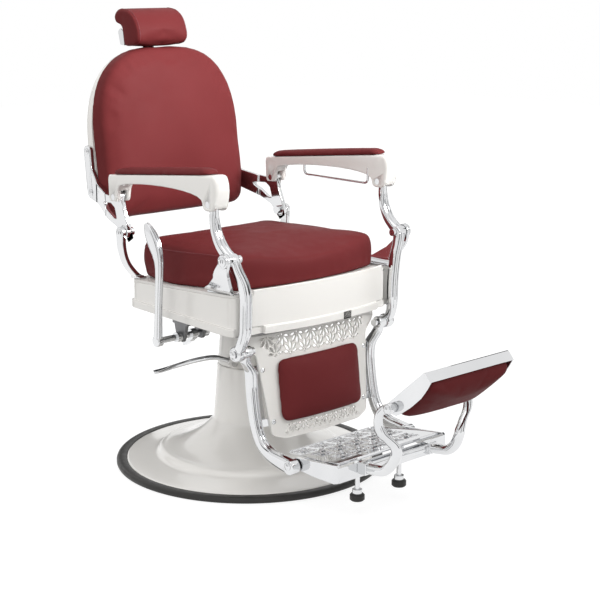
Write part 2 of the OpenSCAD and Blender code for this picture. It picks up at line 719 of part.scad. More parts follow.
// A point of the leaning back, as [y, z]
function from_back(v, w) = [back_origin[1] + v * cos(back_lean) + w * sin(back_lean),
  back_origin[2] - v * sin(back_lean) + w * cos(back_lean)];
module back_bracket_left() {
  a = back_w / 2 + 0.15;
  t = hub_t * 0.75;
  lo = from_back(screw_v, screw_w[0]);
  hi = from_back(screw_v, screw_w[1]);
  plan = spline([[a + t / 2, 420], [a + t / 2, 345], [a + t / 2 + 0.5, 318], [a + 15, 288],
    [hub_x + t / 2 - 5, 254], [hub_x + t / 2, 232], [hub_x + t / 2, 120]], 5);
  color("silver") difference() {
    union() {
      intersection() {
        translate([0, 0, 560]) linear_extrude(height = 300) polygon(ribbon(plan, t / 2));
        side(200, 300) difference() {
          polygon(concat(
            ring_points(hi, 15, -4, 184, 12),
            [[hi[0] - 19, hi[1] - 46], [lo[0] - 24, lo[1] + 26], [300, 713], [250, 702], [222, 700]],
            ring_points(p_arm, 13, 60, 180, 8),
            [[170, 672], [156, 640]],
            ring_points(p_back, 16, 160, 310, 10),
            [[200, 625], [250, 645], [300, 663]],
            ring_points(lo, 17, -70, -4, 6)));
          polygon(rounded([[272, 680], [222, 682], [206, 672], [197, 643], [212, 645]], [6, 8, 8, 5,
              5], 4));
        }
      }
      xcyl(hub_x + 1, hub_x + hub_t, 16.5, p_back);
      xcyl(hub_x + 1, hub_x + hub_t, 13.5, p_arm);
    }
    xcyl(hub_x - 10, hub_x + 40, 7 + run_fit, p_back);
    xcyl(hub_x - 10, hub_x + 40, pin_d / 2 + run_fit, p_arm);
    for (p = [lo, hi]) xcyl(a - 20, hub_x + 40, 4.2, p);
  }
}
module back_bracket_right() {
  right() back_bracket_left();
}
module bracket_screws() {
  a = back_w / 2;
  x1 = a + 0.15 + hub_t * 0.75;
  color("silver") both() for (w = screw_w) {
    xcyl(a - 24, x1 + 3, 4, from_back(screw_v, w));
    dome(x1 + 0.3, 8, 4.5, from_back(screw_v, w));
  }
}
module headrest_socket() {
  w = post_w + 12;
  v1 = shell_gap + shell_t - shell_wall - 0.1;
  color("dimgray") in_back() difference() {
    translate([-w / 2, post_v - 10, 190]) cube([w, v1 - post_v + 10, back_h - 206]);
    translate([-post_w / 2 - 0.3, post_v - post_t / 2 - 0.3, 180]) cube([post_w + 0.6, post_t + 0.6,
        back_h]);
  }
}

// Headrest

head_pin = from_back(post_v, pin_w);
module headrest_post() {
  color("silver") difference() {
    in_back() translate([-post_w / 2, post_v - post_t / 2, pin_w - 260]) cube([post_w, post_t, 265.5]);
    xcyl(-60, 60, 2.5, head_pin);
  }
}
module headrest_pin() {
  color("silver") {
    xcyl(-post_w / 2 - 9, post_w / 2 + 9, 2.45, head_pin);
    xcyl(-post_w / 2 - 10, -post_w / 2 - 7, 3.6, head_pin);
    xcyl(post_w / 2 + 7, post_w / 2 + 10, 3.6, head_pin);
  }
}
// Side outline of the roll in the leaning frame, as [depth, height]
module headrest_pad() {
  r = pad_rear_v;
  b = back_h + 5;
  pr = spline([[r, b + 2], [46, b], [18, b + 1], [4, b + 9], [0, b + 24], [7, b + 58], [20, b + 80],
    [40, b + 94], [68, b + 101], [90, b + 99], [103, b + 87], [102, b + 74], [94, b + 65], [r + 9,
        b + 61],
    [r + 2, b + 54], [r, b + 40], [r, b + 3]], 2);
  mid = [46, b + 52];
  hw = head_w / 2;
  rows = [[-hw, 0.84], [-hw + 1.5, 0.92], [-hw + 5, 0.98], [-hw + 11, 1], [-hw * 0.4, 1], [hw * 0.4, 1],
    [hw - 11, 1], [hw - 5, 0.98], [hw - 1.5, 0.92], [hw, 0.84]];
  pts = [for (i = [len(pr) - 2 : -1 : 0]) pr[i]];
  color("firebrick") in_back()
    skin([for (k = rows) [for (p = pts) let (q = mid + (p - mid) * k[1]) [k[0], q[0], q[1]]]]);
}
module headrest_bracket() {
  x = post_w / 2 + 0.5;
  hw = head_w / 2 - 5;
  v = pad_rear_v + soft_gap;
  w = back_h + 10;
  color("silver") difference() {
    in_back() {
      side(-hw, hw) polygon([[v, w], [v + 2.8, w], [v + 2.8, pin_w - 1.2], [v, pin_w - 1.2]]);
      both() side(hw - 3, hw) polygon(rounded([[v, w], [v + 18, w + 4], [v + 22, w + 40], [v + 10,
          w + 46], [v, w + 38]],
        [1, 6, 8, 4, 1], 4));
      both() side(x, x + 6) polygon(concat([[v, w + 14], [v + 6, w + 14]],
        ring_points([post_v, pin_w], 8, -60, 90, 8), [[v, w + 38]]));
    }
    xcyl(-60, 60, 2.5, head_pin);
  }
}

// Armrests

module arm_outline() {
  polygon(concat(
    [[203, 757], [-214, 799]],
    [[-226, 799], [-234, 793], [-239, 782], [-240, 764], [-236, 744], [-231, 728]],
    [[-224, 718], [-216, 715], [-196, 715], [-188, 720], [-184, 732]],
    [for (t = [0 : 0.125 : 1]) let (q = 1 - t) [
      q * q * q * -180 + 3 * q * q * t * -150 + 3 * q * t * t * 90 + t * t * t * 158,
      q * q * q * 738 + 3 * q * q * t * 762 + 3 * q * t * t * 754 + t * t * t * 734]],
    [[166, 722], [170, 700], [175, 692], [199, 691], [205, 698], [207, 745]]));
}
module in_arm() {
  translate([(arm_rear_x + arm_front_x) / 2, -8, 0]) rotate([0, 0, arm_splay]) translate([0, 8, 0])
      children();
}
module arm_body() {
  color("white") difference() {
    in_arm() side(-arm_w / 2, arm_w / 2) arm_outline();
    translate([arm_rear_x - 11, 140, 680]) cube([22, 100, 40]);
    side(arm_front_x - 12, arm_front_x + 12) polygon(concat(ring_points(p_front, 15.5, 190, 0, 14),
      [[p_front[0] + 15.5, 690], [-262, 690]]));
    xcyl(arm_rear_x - 60, arm_rear_x + 60, pin_d / 2 + 0.03, p_arm);
    xcyl(arm_front_x - 60, arm_front_x + 60, pin_d / 2 + 0.03, p_front);
    for (s = [-1, 1]) {
      translate([s * 28.5, 0, 0]) xcyl(arm_rear_x - 11, arm_rear_x + 11, 8.3, p_arm);
      translate([s * 28.5, 0, 0]) xcyl(arm_front_x - 11, arm_front_x + 11, 8.3, p_front);
    }
  }
}
module armrest_left() {
  color("white") difference() {
    arm_body();
    for (y = [towel_rear, towel_front]) translate([towel_x, y, 700]) cylinder(h = 66, r = towel_r + 0.05);
  }
}
module armrest_right() {
  right() arm_body();
}
towel_r = 3.2;
towel_x = 258;
towel_rear = 66;
towel_front = -172;
module arm_pins_left() {
  color("silver") for (q = [[arm_rear_x, p_arm], [arm_front_x, p_front]]) {
    xcyl(q[0] - 17.6, q[0] + 17.6, pin_d / 2, q[1]);
    xcyl(q[0] + 17.55, q[0] + 21, 8, q[1]);
    xcyl(q[0] - 21, q[0] - 17.55, 8, q[1]);
  }
}
module arm_pins_right() {
  right() arm_pins_left();
}
arm_slope = atan2(42, 417);
function pad_plan(g) = rounded([[-arm_w / 2 - 2 + g, -190 + g], [arm_w / 2 + 2 - g, -190 + g],
  [arm_w / 2 + 2 - g, 186 - g], [-arm_w / 2 - 2 + g, 186 - g]],
  [19 - g * 0.6, 19 - g * 0.6, 17 - g * 0.6, 17 - g * 0.6], 6);
module arm_pad_left() {
  h = arm_pad_h;
  levels = [[1.5, 0], [0, h * 0.16], [-0.5, h * 0.35], [1, h * 0.55], [4, h * 0.74], [8, h * 0.88],
      [13, h * 0.96], [18, h]];
  color("firebrick") in_arm() translate([0, 203, 757 + soft_gap]) rotate([-arm_slope, 0, 0])
      translate([0, -203, 0])
    skin([for (k = levels) [for (p = pad_plan(k[0])) [p[0], p[1], k[1] * (0.45 + 0.55 * bump((p[1] + 2)
        / 190))]]]);
}
module arm_pad_right() {
  right() arm_pad_left();
}
module towel_bar() {
  z = 722;
  bend = 12;
  span = towel_rear - towel_front;
  color("silver") translate([towel_x, 0, z]) {
    translate([0, towel_rear - bend, 0]) rotate([90, 0, 0]) cylinder(h = span - 2 * bend, r = towel_r);
    translate([0, towel_rear - bend, bend]) rotate([0, 90, 0]) rotate_extrude(angle = 90)
      translate([bend, 0]) circle(r = towel_r);
    translate([0, towel_front + bend, bend]) rotate([0, 90, 0]) rotate([0, 0, -90])
        rotate_extrude(angle = 90)
      translate([bend, 0]) circle(r = towel_r);
    translate([0, towel_rear, bend]) cylinder(h = 28, r = towel_r);
    translate([0, towel_front, bend]) cylinder(h = 28, r = towel_r);
  }
}

// Front legs and legrest

module front_leg_left() {
  w = leg_w / 2;
  t = leg_t / 2;
  xl = leg_x - 33;
  path = spline([[xl + 5, p_scroll[0], p_scroll[1], w - 2, t], [xl + 5, -263, 397, w - 2, t], [xl + 1,
      -273, 430, w, t],
    [xl, -275, 480, w, t], [xl + 2, -277, 520, w, t], [xl + 9, -275, 552, w, t], [xl + 22, -271, 580,
        w, t],
    [leg_x - 2.5, -264, 604, w, t + 2], [leg_x - 1, -246, 618, w, t], [leg_x - 0.5, -226, 638, w, t - 1],
    [leg_x, -211, 666, w - 1, t - 2], [leg_x, -205, 694, w - 3, t - 2], [leg_x, -204, 710, 9, 10],
    [leg_x, -204, 722, 9, 10]], 3);
  color("silver") difference() {
    union() {
      sweep(path, reeded_section(1));
      xcyl(leg_x - 9, leg_x + 9, 13, p_front);
      xcyl(leg_x - w, leg_x + w, 15, p_leg);
      xcyl(xl + 5 - w + 1, xl + 5 + w - 1, 19, p_scroll);
    }
    xcyl(leg_x - 40, leg_x + 40, pin_d / 2 + slack, p_front);
    xcyl(leg_x - 40, leg_x + 40, 6 + run_fit, p_leg);
    xcyl(xl - 40, xl + 60, 5.2, p_scroll);
  }
}
module front_leg_right() {
  right() front_leg_left();
}
scroll_x = leg_x - 33 + 5 - leg_w / 2 + 1;
panel_screws = [[154, -70], [172, 60]];
function bow(x) = panel_bow_r - sqrt(panel_bow_r * panel_bow_r - x * x);
// Frame of one panel screw, square to the bowed panel
module at_screw(q) {
  in_panel() translate([q[0], bow(q[0]), q[1]]) rotate([0, 0, asin(q[0] / panel_bow_r)]) children();
}
module side_bar_left() {
  w = bar_w / 2;
  d = bar_d / 2;
  path = spline([[scroll_x - 12, p_scroll[0], p_scroll[1] - 2, w - 2, d - 2.5],
    [scroll_x - 15, -245, 352, w - 1, d - 1.5], [bar_x + 4, -240, 324, w, d],
    [bar_x, -239, 290, w, d], [bar_x, -243, 250, w, d],
    [bar_x, -251, 205, w, d], [bar_x, -262, 172, w, d], [bar_x, -282, 146, w, d],
    [bar_x, -312, 131, w, d], [bar_x, -350, 125, w, d],
    [bar_x, p_foot[0], p_foot[1], w, d]], 3);
  band = spline([for (q = [[-239, 330], [-238, 290], [-242, 250], [-250, 205], [-257, 181]])
    [bar_x - w - 9, q[0] + 7, q[1], 13, 2.2]], 3);
  color("silver") difference() {
    union() {
      sweep(path, reeded_section(-1));
      sweep(band, [[-1, 1], [-1, -1], [1, -1], [1, 1]]);
      xcyl(bar_x - w, bar_x + w, 14, p_foot);
      xcyl(scroll_x - bar_w, scroll_x - 0.3, 15, p_scroll);
      for (q = panel_screws) at_screw(q) intersection() {
        translate([-10, 0, -9]) cube([bar_x + 14 - q[0], panel_t + 5, 18]);
        translate([0, panel_bow_r, -10]) cylinder(h = 20, r = panel_bow_r - panel_t - 0.1, $fn = 360);
      }
    }
    for (q = panel_screws) at_screw(q) rotate([90, 0, 0]) cylinder(h = 60, d = 6.2, center = true);
    xcyl(100, 300, 5.2, p_foot);
    xcyl(100, 300, 5.2, p_scroll);
  }
}
module side_bar_right() {
  right() side_bar_left();
}
module in_panel() {
  translate([0, panel_y, panel_z]) rotate([-panel_lean, 0, 0]) children();
}
// Openwork of the legrest panel: rows of leaf sprigs of one plain layout
module sprig(k) {
  for (q = [[0, 24, 9], [38, 22, 8], [78, 16, 6.5]], a = [-q[0], q[0]])
    rotate(90 + a) translate([(5 + q[1] / 2) * k, 0]) leaf(q[1] * k, q[2] * k);
  translate([0, -1.5 * k]) circle(d = 6 * k, $fn = 32);
}
module panel_openwork() {
  for (x = [-132 : 44 : 132]) translate([x, 91]) sprig(1);
  for (x = [-154 : 44 : 154]) translate([x, 136]) rotate(180) sprig(1);
  for (x = [-102 : 34 : 102]) translate([x, -84]) rotate(180) sprig(0.72);
  for (x = [-119 : 34 : 119]) translate([x, -102]) circle(d = 6, $fn = 32);
}
module legrest_panel() {
  ht = panel_top_w / 2;
  hf = panel_foot_w / 2;
  r = panel_bow_r;
  color("white") difference() {
    in_panel() intersection() {
      translate([0, r, -160]) difference() {
        cylinder(h = 330, r = r, $fn = 256);
        translate([0, 0, -1]) cylinder(h = 340, r = r - panel_t, $fn = 256);
      }
      front(-60, 90) difference() {
        polygon(rounded([[-ht, 144], [-ht, 128], [-185, 96], [-hf, -104], [-hf + 36, -117], [hf - 36,
            -117],
          [hf, -104], [185, 96], [ht, 128], [ht, 144]], [6, 8, 20, 16, 20, 20, 16, 20, 8, 6], 4));
        panel_openwork();
      }
    }
    both() for (q = panel_screws) at_screw(q) rotate([90, 0, 0]) cylinder(h = 60, d = 6.2, center = true);
  }
}
module legrest_pad() {
  a = rest_pad_w / 2;
  b = rest_pad_h / 2;
  plan = dense(rounded([[-a, -b], [a, -b], [a, b], [-a, b]], [24, 24, 24, 24], 5), 34);
  levels = [[0.12, 0], [0.42, 0], [0.72, 0], [0.975, 0], [0.995, 3], [1, 8], [0.985, 12.5], [0.95, 16],
      [0.88, 19], [0.74, 22], [0.52, 25], [0.24, 27]];
  k = (rest_crown + 7) / 27;
  color("firebrick") in_panel() translate([0, 0, 2]) skin([for (l = levels) [for (p = plan)
    [p[0] * l[0], bow(p[0] * l[0]) - soft_gap - l[1] * k, p[1] * l[0]]]]);
}
module legrest_screws() {
  color("silver") both() for (q = panel_screws) at_screw(q) translate([0, -0.1, 0]) rotate([90, 0, 0]) {
    translate([0, 0, -12]) cylinder(h = 12.5, d = 6);
    intersection() {
      cylinder(h = 3.4, r = 6);
      translate([0, 0, -5.6]) sphere(r = 9);
    }
  }
}

// Footrest

tread_slope = atan2(28, 209);
module in_tread() {
  translate([0, -305, 120]) rotate([-tread_slope, 0, 0]) children();
}
module footrest_frame() {
  x1 = rail_span / 2;
  color("silver") difference() {
    union() {
      both() side(x1 - rail_t, x1) polygon(concat(ring_points(p_foot, 14, -100, 80, 10),
        [[-500, 149], [-514, 151], [-520, 146], [-520, 116], [-518, 108], [-505, 104], [-440, 104]]));
      side(-x1 + rail_t / 2, x1 - rail_t / 2) polygon([[-520, 108], [-513, 108], [-513, 139], [-520,
          146]]);
      xcyl(-x1 + rail_t / 2, x1 - rail_t / 2, 7, p_foot);
      in_tread() side(-x1 + rail_t / 2, x1 - rail_t / 2) {
        polygon([[-182, -10], [-152, -10], [-152, 0], [-182, 0]]);
        polygon([[-106, -9], [-88, -9], [-88, 0], [-106, 0]]);
      }
    }
    both() xcyl(x1 - 22, x1 + 20, 5.2, p_foot);
    both() translate([foot_x, foot_y, 90]) cylinder(h = 60, d = 12.1);
  }
}
module tread_openwork() {
  for (j = [0 : 2], i = [-2 : 2]) translate([i * (54 + 3 * (2 - j)), -32 - j * 62]) {
    for (a = [45 : 90 : 315]) rotate(a) translate([17, 0]) leaf(27, 11);
    for (a = [0 : 90 : 270]) rotate(a) translate([14.5, 0]) leaf(17, 6);
    circle(d = 6, $fn = 32);
  }
  for (j = [0 : 1], i = [-2 : 1]) translate([(i + 0.5) * (54 + 3 * (2 - j)), -63 - j * 62])
    circle(d = 12, $fn = 32);
}
module footrest_tread() {
  a = tread_rear_w / 2;
  b = tread_front_w / 2;
  color("silver") in_tread() translate([0, 0, 0.05]) linear_extrude(height = 4) difference() {
    polygon(rounded([[-a, 0], [-b, -150], [-b, -204], [b, -204], [b, -150], [a, 0]], [14, 0, 6, 6, 0,
        14], 5));
    tread_openwork();
  }
}
module footrest_bolts() {
  color("silver") both() {
    xcyl(rail_span / 2 - 12, bar_x + bar_w / 2 + 3, 5, p_foot);
    dome(bar_x + bar_w / 2 + 0.1, 10, 6, p_foot);
    xcyl(scroll_x - bar_w - 9, scroll_x + leg_w + 2, 5, p_scroll);
    dome(scroll_x + leg_w - 1.9, 9, 6, p_scroll);
    xcyl(scroll_x - bar_w - 9, scroll_x - bar_w - 2, 9, p_scroll);
  }
}
module foot_crossbar() {
  color("silver") {
    both() side(block_x - 13, block_x + 13) polygon(rounded([[-548, 120], [-520.3, 120], [-520.3, 149],
        [-548, 149]],
      [4, 4, 4, 4], 4));
    xcyl(-block_x, block_x, 8, [-533, 134]);
  }
}
module flip_arm_left() {
  x1 = flip_eye_x + 8;
  r = tray_arm_d / 2;
  path = spline([[block_x, -546, 135, r, r], [block_x + 1, -566, 137, r, r], [block_x + 1, -594, 143, r, r],
    [block_x, -616, 162, r, r], [block_x - 3, -629, 188, r, r], [block_x + 1, -630, 206, r, r],
    [block_x + 16, -625, 224, r - 0.5, r - 0.5], [block_x + 35, -620, 243, r - 1, r - 1],
    [x1, -616, 266, r - 2, r - 2], [x1 + 1, -619, 291, 9, 10], [x1, -634, 308, 7.5, 9],
    [x1, p_flip[0], p_flip[1], 7.5, 8]], 3);
  color("silver") difference() {
    union() {
      sweep(path, round_section(14));
      xcyl(flip_eye_x, flip_eye_x + 16, 12, p_flip);
    }
    side(60, 200) polygon([[-548.05, 100], [-500, 100], [-500, 180], [-548.05, 180]]);
    xcyl(100, 220, 5.05, p_flip);
  }
}
module flip_arm_right() {
  right() flip_arm_left();
}
module foot_posts() {
  color("silver") both() translate([foot_x, foot_y, 0]) {
    translate([0, 0, foot_z + 10]) cylinder(h = 98, d = 12);
    translate([0, 0, foot_z + 18.1]) cylinder(h = 10, d = 24);
    translate([0, 0, 116]) cylinder(h = 13.5, d = 22, $fn = 6);
  }
}
module foot_pads() {
  color("black") both() translate([foot_x, foot_y, foot_z]) difference() {
    rotate_extrude() polygon([[0, 0], [foot_d / 2 - 3, 0], [foot_d / 2, 3], [foot_d / 2, 14],
      [foot_d / 2 - 4, 18], [0, 18]]);
    translate([0, 0, 9.8]) cylinder(h = 20, d = 12.3);
  }
}

// Flip pad

module in_flip() {
  translate([0, p_flip[0], p_flip[1]]) rotate([-tray_slope, 0, 0]) children();
}
module flip_tray() {
  e = 16 - tray_l;
  color("silver") difference() {
    in_flip() difference() {
      union() {
        side(-tray_x, tray_x) polygon([[14, 12.5], [12, 16], [e + 3, 16], [e, 13], [e, 10.5], [e + 3,
            12.5]]);
        side(-tray_x, tray_x) polygon([[e, 13], [e + 3, 13], [e + 3, -11], [e, -11]]);
        both() side(tray_x - 4, tray_x) polygon([[12, 16], [15, 8], [14, -10], [6, -18], [-8, -22],
            [-40, -25],
          [-84, -24], [-112, -18], [e, -11], [e, 13], [e + 3, 16]]);
      }
    }
    xcyl(-300, 300, 5 + run_fit, p_flip);
  }
}
module flip_cushion() {
  a = tray_x - 6;
  y0 = 10;
  y1 = 24 - tray_l;
  c = (y0 + y1) / 2;
  b = (y0 - y1) / 2;
  plan = rounded([[-a, -b], [-a, b], [a, b], [a, -b]], [16, 16, 16, 16], 7);
  levels = [[0.97, 0], [0.995, 3], [1, 10], [1, 20], [0.985, 27], [0.95, 33], [0.88, 38], [0.72, 42],
      [0.48, 45], [0.22, 46]];
  color("firebrick") in_flip() translate([0, c, 12.1]) skin([for (l = levels) [for (p = plan)
    [p[0] * l[0], p[1] * mix(l[0], 1, 0.1), -l[1] * 0.9]]]);
}
module flip_bolts() {
  color("silver") both() {
    xcyl(tray_x - 3.8, flip_eye_x + 18, 5, p_flip);
    xcyl(tray_x + side_gap, flip_eye_x - 0.1, 9, p_flip);
    dome(flip_eye_x + 16.1, 10, 8, p_flip);
  }
}

base_shell();
base_trim();
pump_cylinder();
base_bolts();
swivel_bush();
thrust_washer();
pump_head();
lever_pin();
pump_lever();
lift_ram();
seat_plate();
seat_plate_bolts();
seat_frame();
seat_board();
seat_cushion();
front_bracket_right();
front_bracket_left();
rear_strut_right();
rear_strut_left();
front_pivot_bolts();
rear_pivot_bolts();
lever_bracket();
recline_lever();
lever_shaft();
back_shell();
back_cushion();
back_bracket_right();
back_bracket_left();
bracket_screws();
headrest_socket();
armrest_right();
arm_pad_right();
arm_pins_right();
armrest_left();
arm_pad_left();
arm_pins_left();
towel_bar();
front_leg_right();
front_leg_left();
side_bar_right();
side_bar_left();
legrest_panel();
legrest_pad();
legrest_screws();
footrest_frame();
footrest_tread();
footrest_bolts();
foot_crossbar();
flip_arm_right();
flip_arm_left();
foot_posts();
foot_pads();
flip_tray();
flip_cushion();
flip_bolts();
headrest_post();
headrest_bracket();
headrest_pin();
headrest_pad();
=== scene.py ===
# %% [markdown]
# # Dressing a hydraulic barber chair
#
# The imported model holds every piece of the chair in its place, in metres, with the chair facing -Y
# and the floor at z = 0. This notebook gives it its looks: turned and cast metal with rounded edges,
# chromed bars swept along their paths, and cushions that a cloth simulation fills. The first cell
# loads the frame.

# %% Load the imported chair
import json
from math import atan2, cos, exp, hypot, pi, radians, sin, tan

import bmesh
import bpy
from mathutils import Matrix, Vector


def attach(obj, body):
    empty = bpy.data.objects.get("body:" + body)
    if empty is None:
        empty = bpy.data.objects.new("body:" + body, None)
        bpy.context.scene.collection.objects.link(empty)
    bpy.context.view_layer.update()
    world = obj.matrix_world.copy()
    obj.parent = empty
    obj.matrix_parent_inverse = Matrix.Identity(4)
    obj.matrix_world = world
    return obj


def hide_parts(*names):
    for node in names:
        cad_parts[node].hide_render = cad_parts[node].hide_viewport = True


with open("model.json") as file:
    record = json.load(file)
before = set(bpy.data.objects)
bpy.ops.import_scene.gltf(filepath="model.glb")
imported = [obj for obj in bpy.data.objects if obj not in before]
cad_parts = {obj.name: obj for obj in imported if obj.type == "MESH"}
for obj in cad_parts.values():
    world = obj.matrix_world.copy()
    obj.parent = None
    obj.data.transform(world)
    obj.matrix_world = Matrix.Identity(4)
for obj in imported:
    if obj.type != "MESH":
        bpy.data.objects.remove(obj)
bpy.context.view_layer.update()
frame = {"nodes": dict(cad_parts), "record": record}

MM = 0.001
nodes = frame["nodes"]
body_of = {n: b for b, members in frame["record"]["behaviour"]["bodies"].items() for n in members}
scene = bpy.context.scene
scene.view_settings.view_transform = "Standard"

# %% [markdown]
# ## Camera
#
# The round base shows as an ellipse in the photograph, and its proportions give the height of the
# camera; the left and right pairs of pivots give the turn and the distance. A matrix built from the
# camera's own right, up and backward directions holds that result exactly, where aiming by hand
# would drift.

# %% Camera
VIEW_TURN, VIEW_RISE = radians(-42.88), radians(12.829)
VIEW_FROM, LENS = (-2.3973, -2.7754, 1.2605), 87.41
backward = Vector((sin(VIEW_TURN) * cos(VIEW_RISE), -cos(VIEW_TURN) * cos(VIEW_RISE), sin(VIEW_RISE)))
rightward = Vector((cos(VIEW_TURN), sin(VIEW_TURN), 0))
upward = backward.cross(rightward)
lens = bpy.data.cameras.new("photo_camera")
lens.lens = LENS
lens.sensor_width = 36
lens.clip_end = 60
camera = bpy.data.objects.new("photo_camera", lens)
aim = Matrix((rightward, upward, backward)).transposed().to_4x4()
camera.matrix_world = Matrix.Translation(VIEW_FROM) @ aim
scene.collection.objects.link(camera)
scene.camera = camera
print("camera stands", round((camera.location.xy).length, 2), "m from the column")

# %% [markdown]
# ## Shader nodes
#
# Light, floor and finishes are all small trees of shader nodes. They could be set up by hand in Blender's
# shader editor, but then nobody could read them here. Three helpers are enough to write them down: one sets
# or links a socket, one adds a node with its sockets, and one adds a step of arithmetic.

# %% Shader nodes
def put(tree, socket, value):
    """Set a socket to a constant, or link another node's output to it."""
    if isinstance(value, bpy.types.NodeSocket):
        tree.links.new(value, socket)
    else:
        socket.default_value = value


def add_node(tree, kind, settings=None, **sockets):
    """A new node with its settings and sockets; _ stands for a space in a socket's name."""
    made = tree.nodes.new("ShaderNode" + kind)
    for name, value in (settings or {}).items():
        setattr(made, name, value)
    for name, value in sockets.items():
        put(tree, made.inputs[name.replace("_", " ")], value)
    return made


def work_out(tree, operation, *values):
    """The result of a step of arithmetic on constants or other nodes' outputs."""
    made = add_node(tree, "Math", {"operation": operation})
    for socket, value in zip(made.inputs, values):
        put(tree, socket, value)
    return made.outputs[0]


print("node helpers are ready")

# %% [markdown]
# ## White background
#
# The chair stands in a white studio. A bright world would be the simple way, but then it would also
# overlight the chair. The light path tells rays apart instead: the camera and mirrors see plain white,
# and the light that falls on the chair is a little weaker.

# %% Background
def seen_directly(tree):
    """1 for rays from the camera, from mirrors and through glass, 0 for the light itself."""
    rays = add_node(tree, "LightPath").outputs
    first = work_out(tree, "MAXIMUM", rays["Is Camera Ray"], rays["Is Glossy Ray"])
    return work_out(tree, "MAXIMUM", first, rays["Is Transmission Ray"])


WHITE = (1, 1, 1, 1)
SKY_LIGHT, SKY_SEEN = 0.94, 1.0
world = bpy.data.worlds.new("white_studio")
scene.world = world
world.use_nodes = True
sky = world.node_tree
sky.nodes.clear()
glow = add_node(sky, "Background", Color=WHITE, Strength=SKY_LIGHT)
backdrop = add_node(sky, "Background", Color=WHITE, Strength=SKY_SEEN)
pick = add_node(sky, "MixShader")
put(sky, pick.inputs[0], seen_directly(sky))
put(sky, pick.inputs[1], glow.outputs[0])
put(sky, pick.inputs[2], backdrop.outputs[0])
add_node(sky, "OutputWorld", Surface=pick.outputs[0])
print("the background is white, and its light has a strength of", SKY_LIGHT)

# %% [markdown]
# ### Floor
#
# The studio stands on a sheet of pale paper. In full white it would throw much light up under the seat,
# so the paper is grey and gives a little light of its own to the camera and to mirrors only. It looks
# white, and it still takes the chair's shadow.

# %% Paper floor
PAPER_GREY, PAPER_LIGHT = 0.32, 0.8
PAPER_REACH, PAPER_DROP = 9, 0.0004
floor_mesh = bpy.data.meshes.new("studio_floor")
paper_corners = [(x * PAPER_REACH, y * PAPER_REACH, 0) for x, y in ((-1, -1), (1, -1), (1, 1), (-1, 1))]
floor_mesh.from_pydata(paper_corners, [], [(0, 1, 2, 3)])
floor = bpy.data.objects.new("studio_floor", floor_mesh)
floor.location.z = -PAPER_DROP
scene.collection.objects.link(floor)
paper = bpy.data.materials.new("studio_paper")
paper.use_nodes = True
sheet = paper.node_tree
matt = sheet.nodes["Principled BSDF"]
matt.inputs["Base Color"].default_value = (PAPER_GREY, PAPER_GREY, PAPER_GREY, 1)
matt.inputs["Roughness"].default_value = 0.7
matt.inputs["Specular IOR Level"].default_value = 0.0
strength = work_out(sheet, "MULTIPLY", seen_directly(sheet), PAPER_LIGHT)
own_light = add_node(sheet, "Emission", Color=WHITE, Strength=strength)
both = add_node(sheet, "AddShader")
put(sheet, both.inputs[0], matt.outputs[0])
put(sheet, both.inputs[1], own_light.outputs[0])
put(sheet, sheet.nodes["Material Output"].inputs["Surface"], both.outputs[0])
floor_mesh.materials.append(paper)
print("the floor is", 2 * PAPER_REACH, "m wide")

# %% [markdown]
# ### Lamps
#
# Four soft area lamps light the chair at a plain level: a key lamp on the back, a weak fill, one low lamp
# at the side for the column, and one overhead. Wide lamps are chosen because a sun or a spot would draw
# hard shadows. The low one is hidden from mirrors, where it would wash out the chrome.

# %% Lamps
def soft_lamp(name, place, size, watts, goal=(0, 0, 0.6), beam=180, mirrored=True):
    """A round area lamp. One that is not mirrored lights the paint and leaves the chrome as it is."""
    lamp = bpy.data.lights.new(name, "AREA")
    lamp.shape = "DISK"
    lamp.size = size
    lamp.energy = watts
    lamp.spread = radians(beam)
    holder = bpy.data.objects.new(name, lamp)
    holder.location = place
    holder.rotation_euler = (Vector(goal) - Vector(place)).to_track_quat("-Z", "Y").to_euler()
    holder.visible_camera = False
    holder.visible_glossy = mirrored
    scene.collection.objects.link(holder)


soft_lamp("key_lamp", (0.8, -1.7, 1.9), 1.0, 8, goal=(0, 0.3, 1.06), beam=50)
soft_lamp("fill_lamp", (1.6, -3.0, 1.9), 2.0, 2)
soft_lamp("side_lamp", (-2.3, -0.7, 0.8), 2.0, 3, goal=(0, 0, 0.25), beam=90, mirrored=False)
soft_lamp("top_lamp", (0.0, 0.0, 3.0), 2.4, 8)
print("four lamps are set")

# %% [markdown]
# ### Dark cards
#
# Polished metal shows only what stands round it, and in an all-white room it would vanish. A photographer
# sets up dark cards, and the same is done here: upright cards round the chair that only mirrors see, so they
# draw lines in the chrome and throw no shadow.

# %% Dark cards
def dark_card(name, turn, wide):
    """An upright card that only mirrors see, so that polished metal shows where it bends."""
    across = Vector((cos(turn), sin(turn), 0)) * wide / 2
    place = Vector((sin(turn), -cos(turn), 0)) * CARD_FAR
    foot = [place - across, place + across]
    corners = [(c.x, c.y, 0.0) for c in foot] + [(c.x, c.y, CARD_TOP) for c in reversed(foot)]
    mesh = bpy.data.meshes.new(name)
    mesh.from_pydata(corners, [], [(0, 1, 2, 3)])
    card = bpy.data.objects.new(name, mesh)
    card.visible_camera = card.visible_diffuse = card.visible_shadow = False
    mesh.materials.append(black_card)
    scene.collection.objects.link(card)


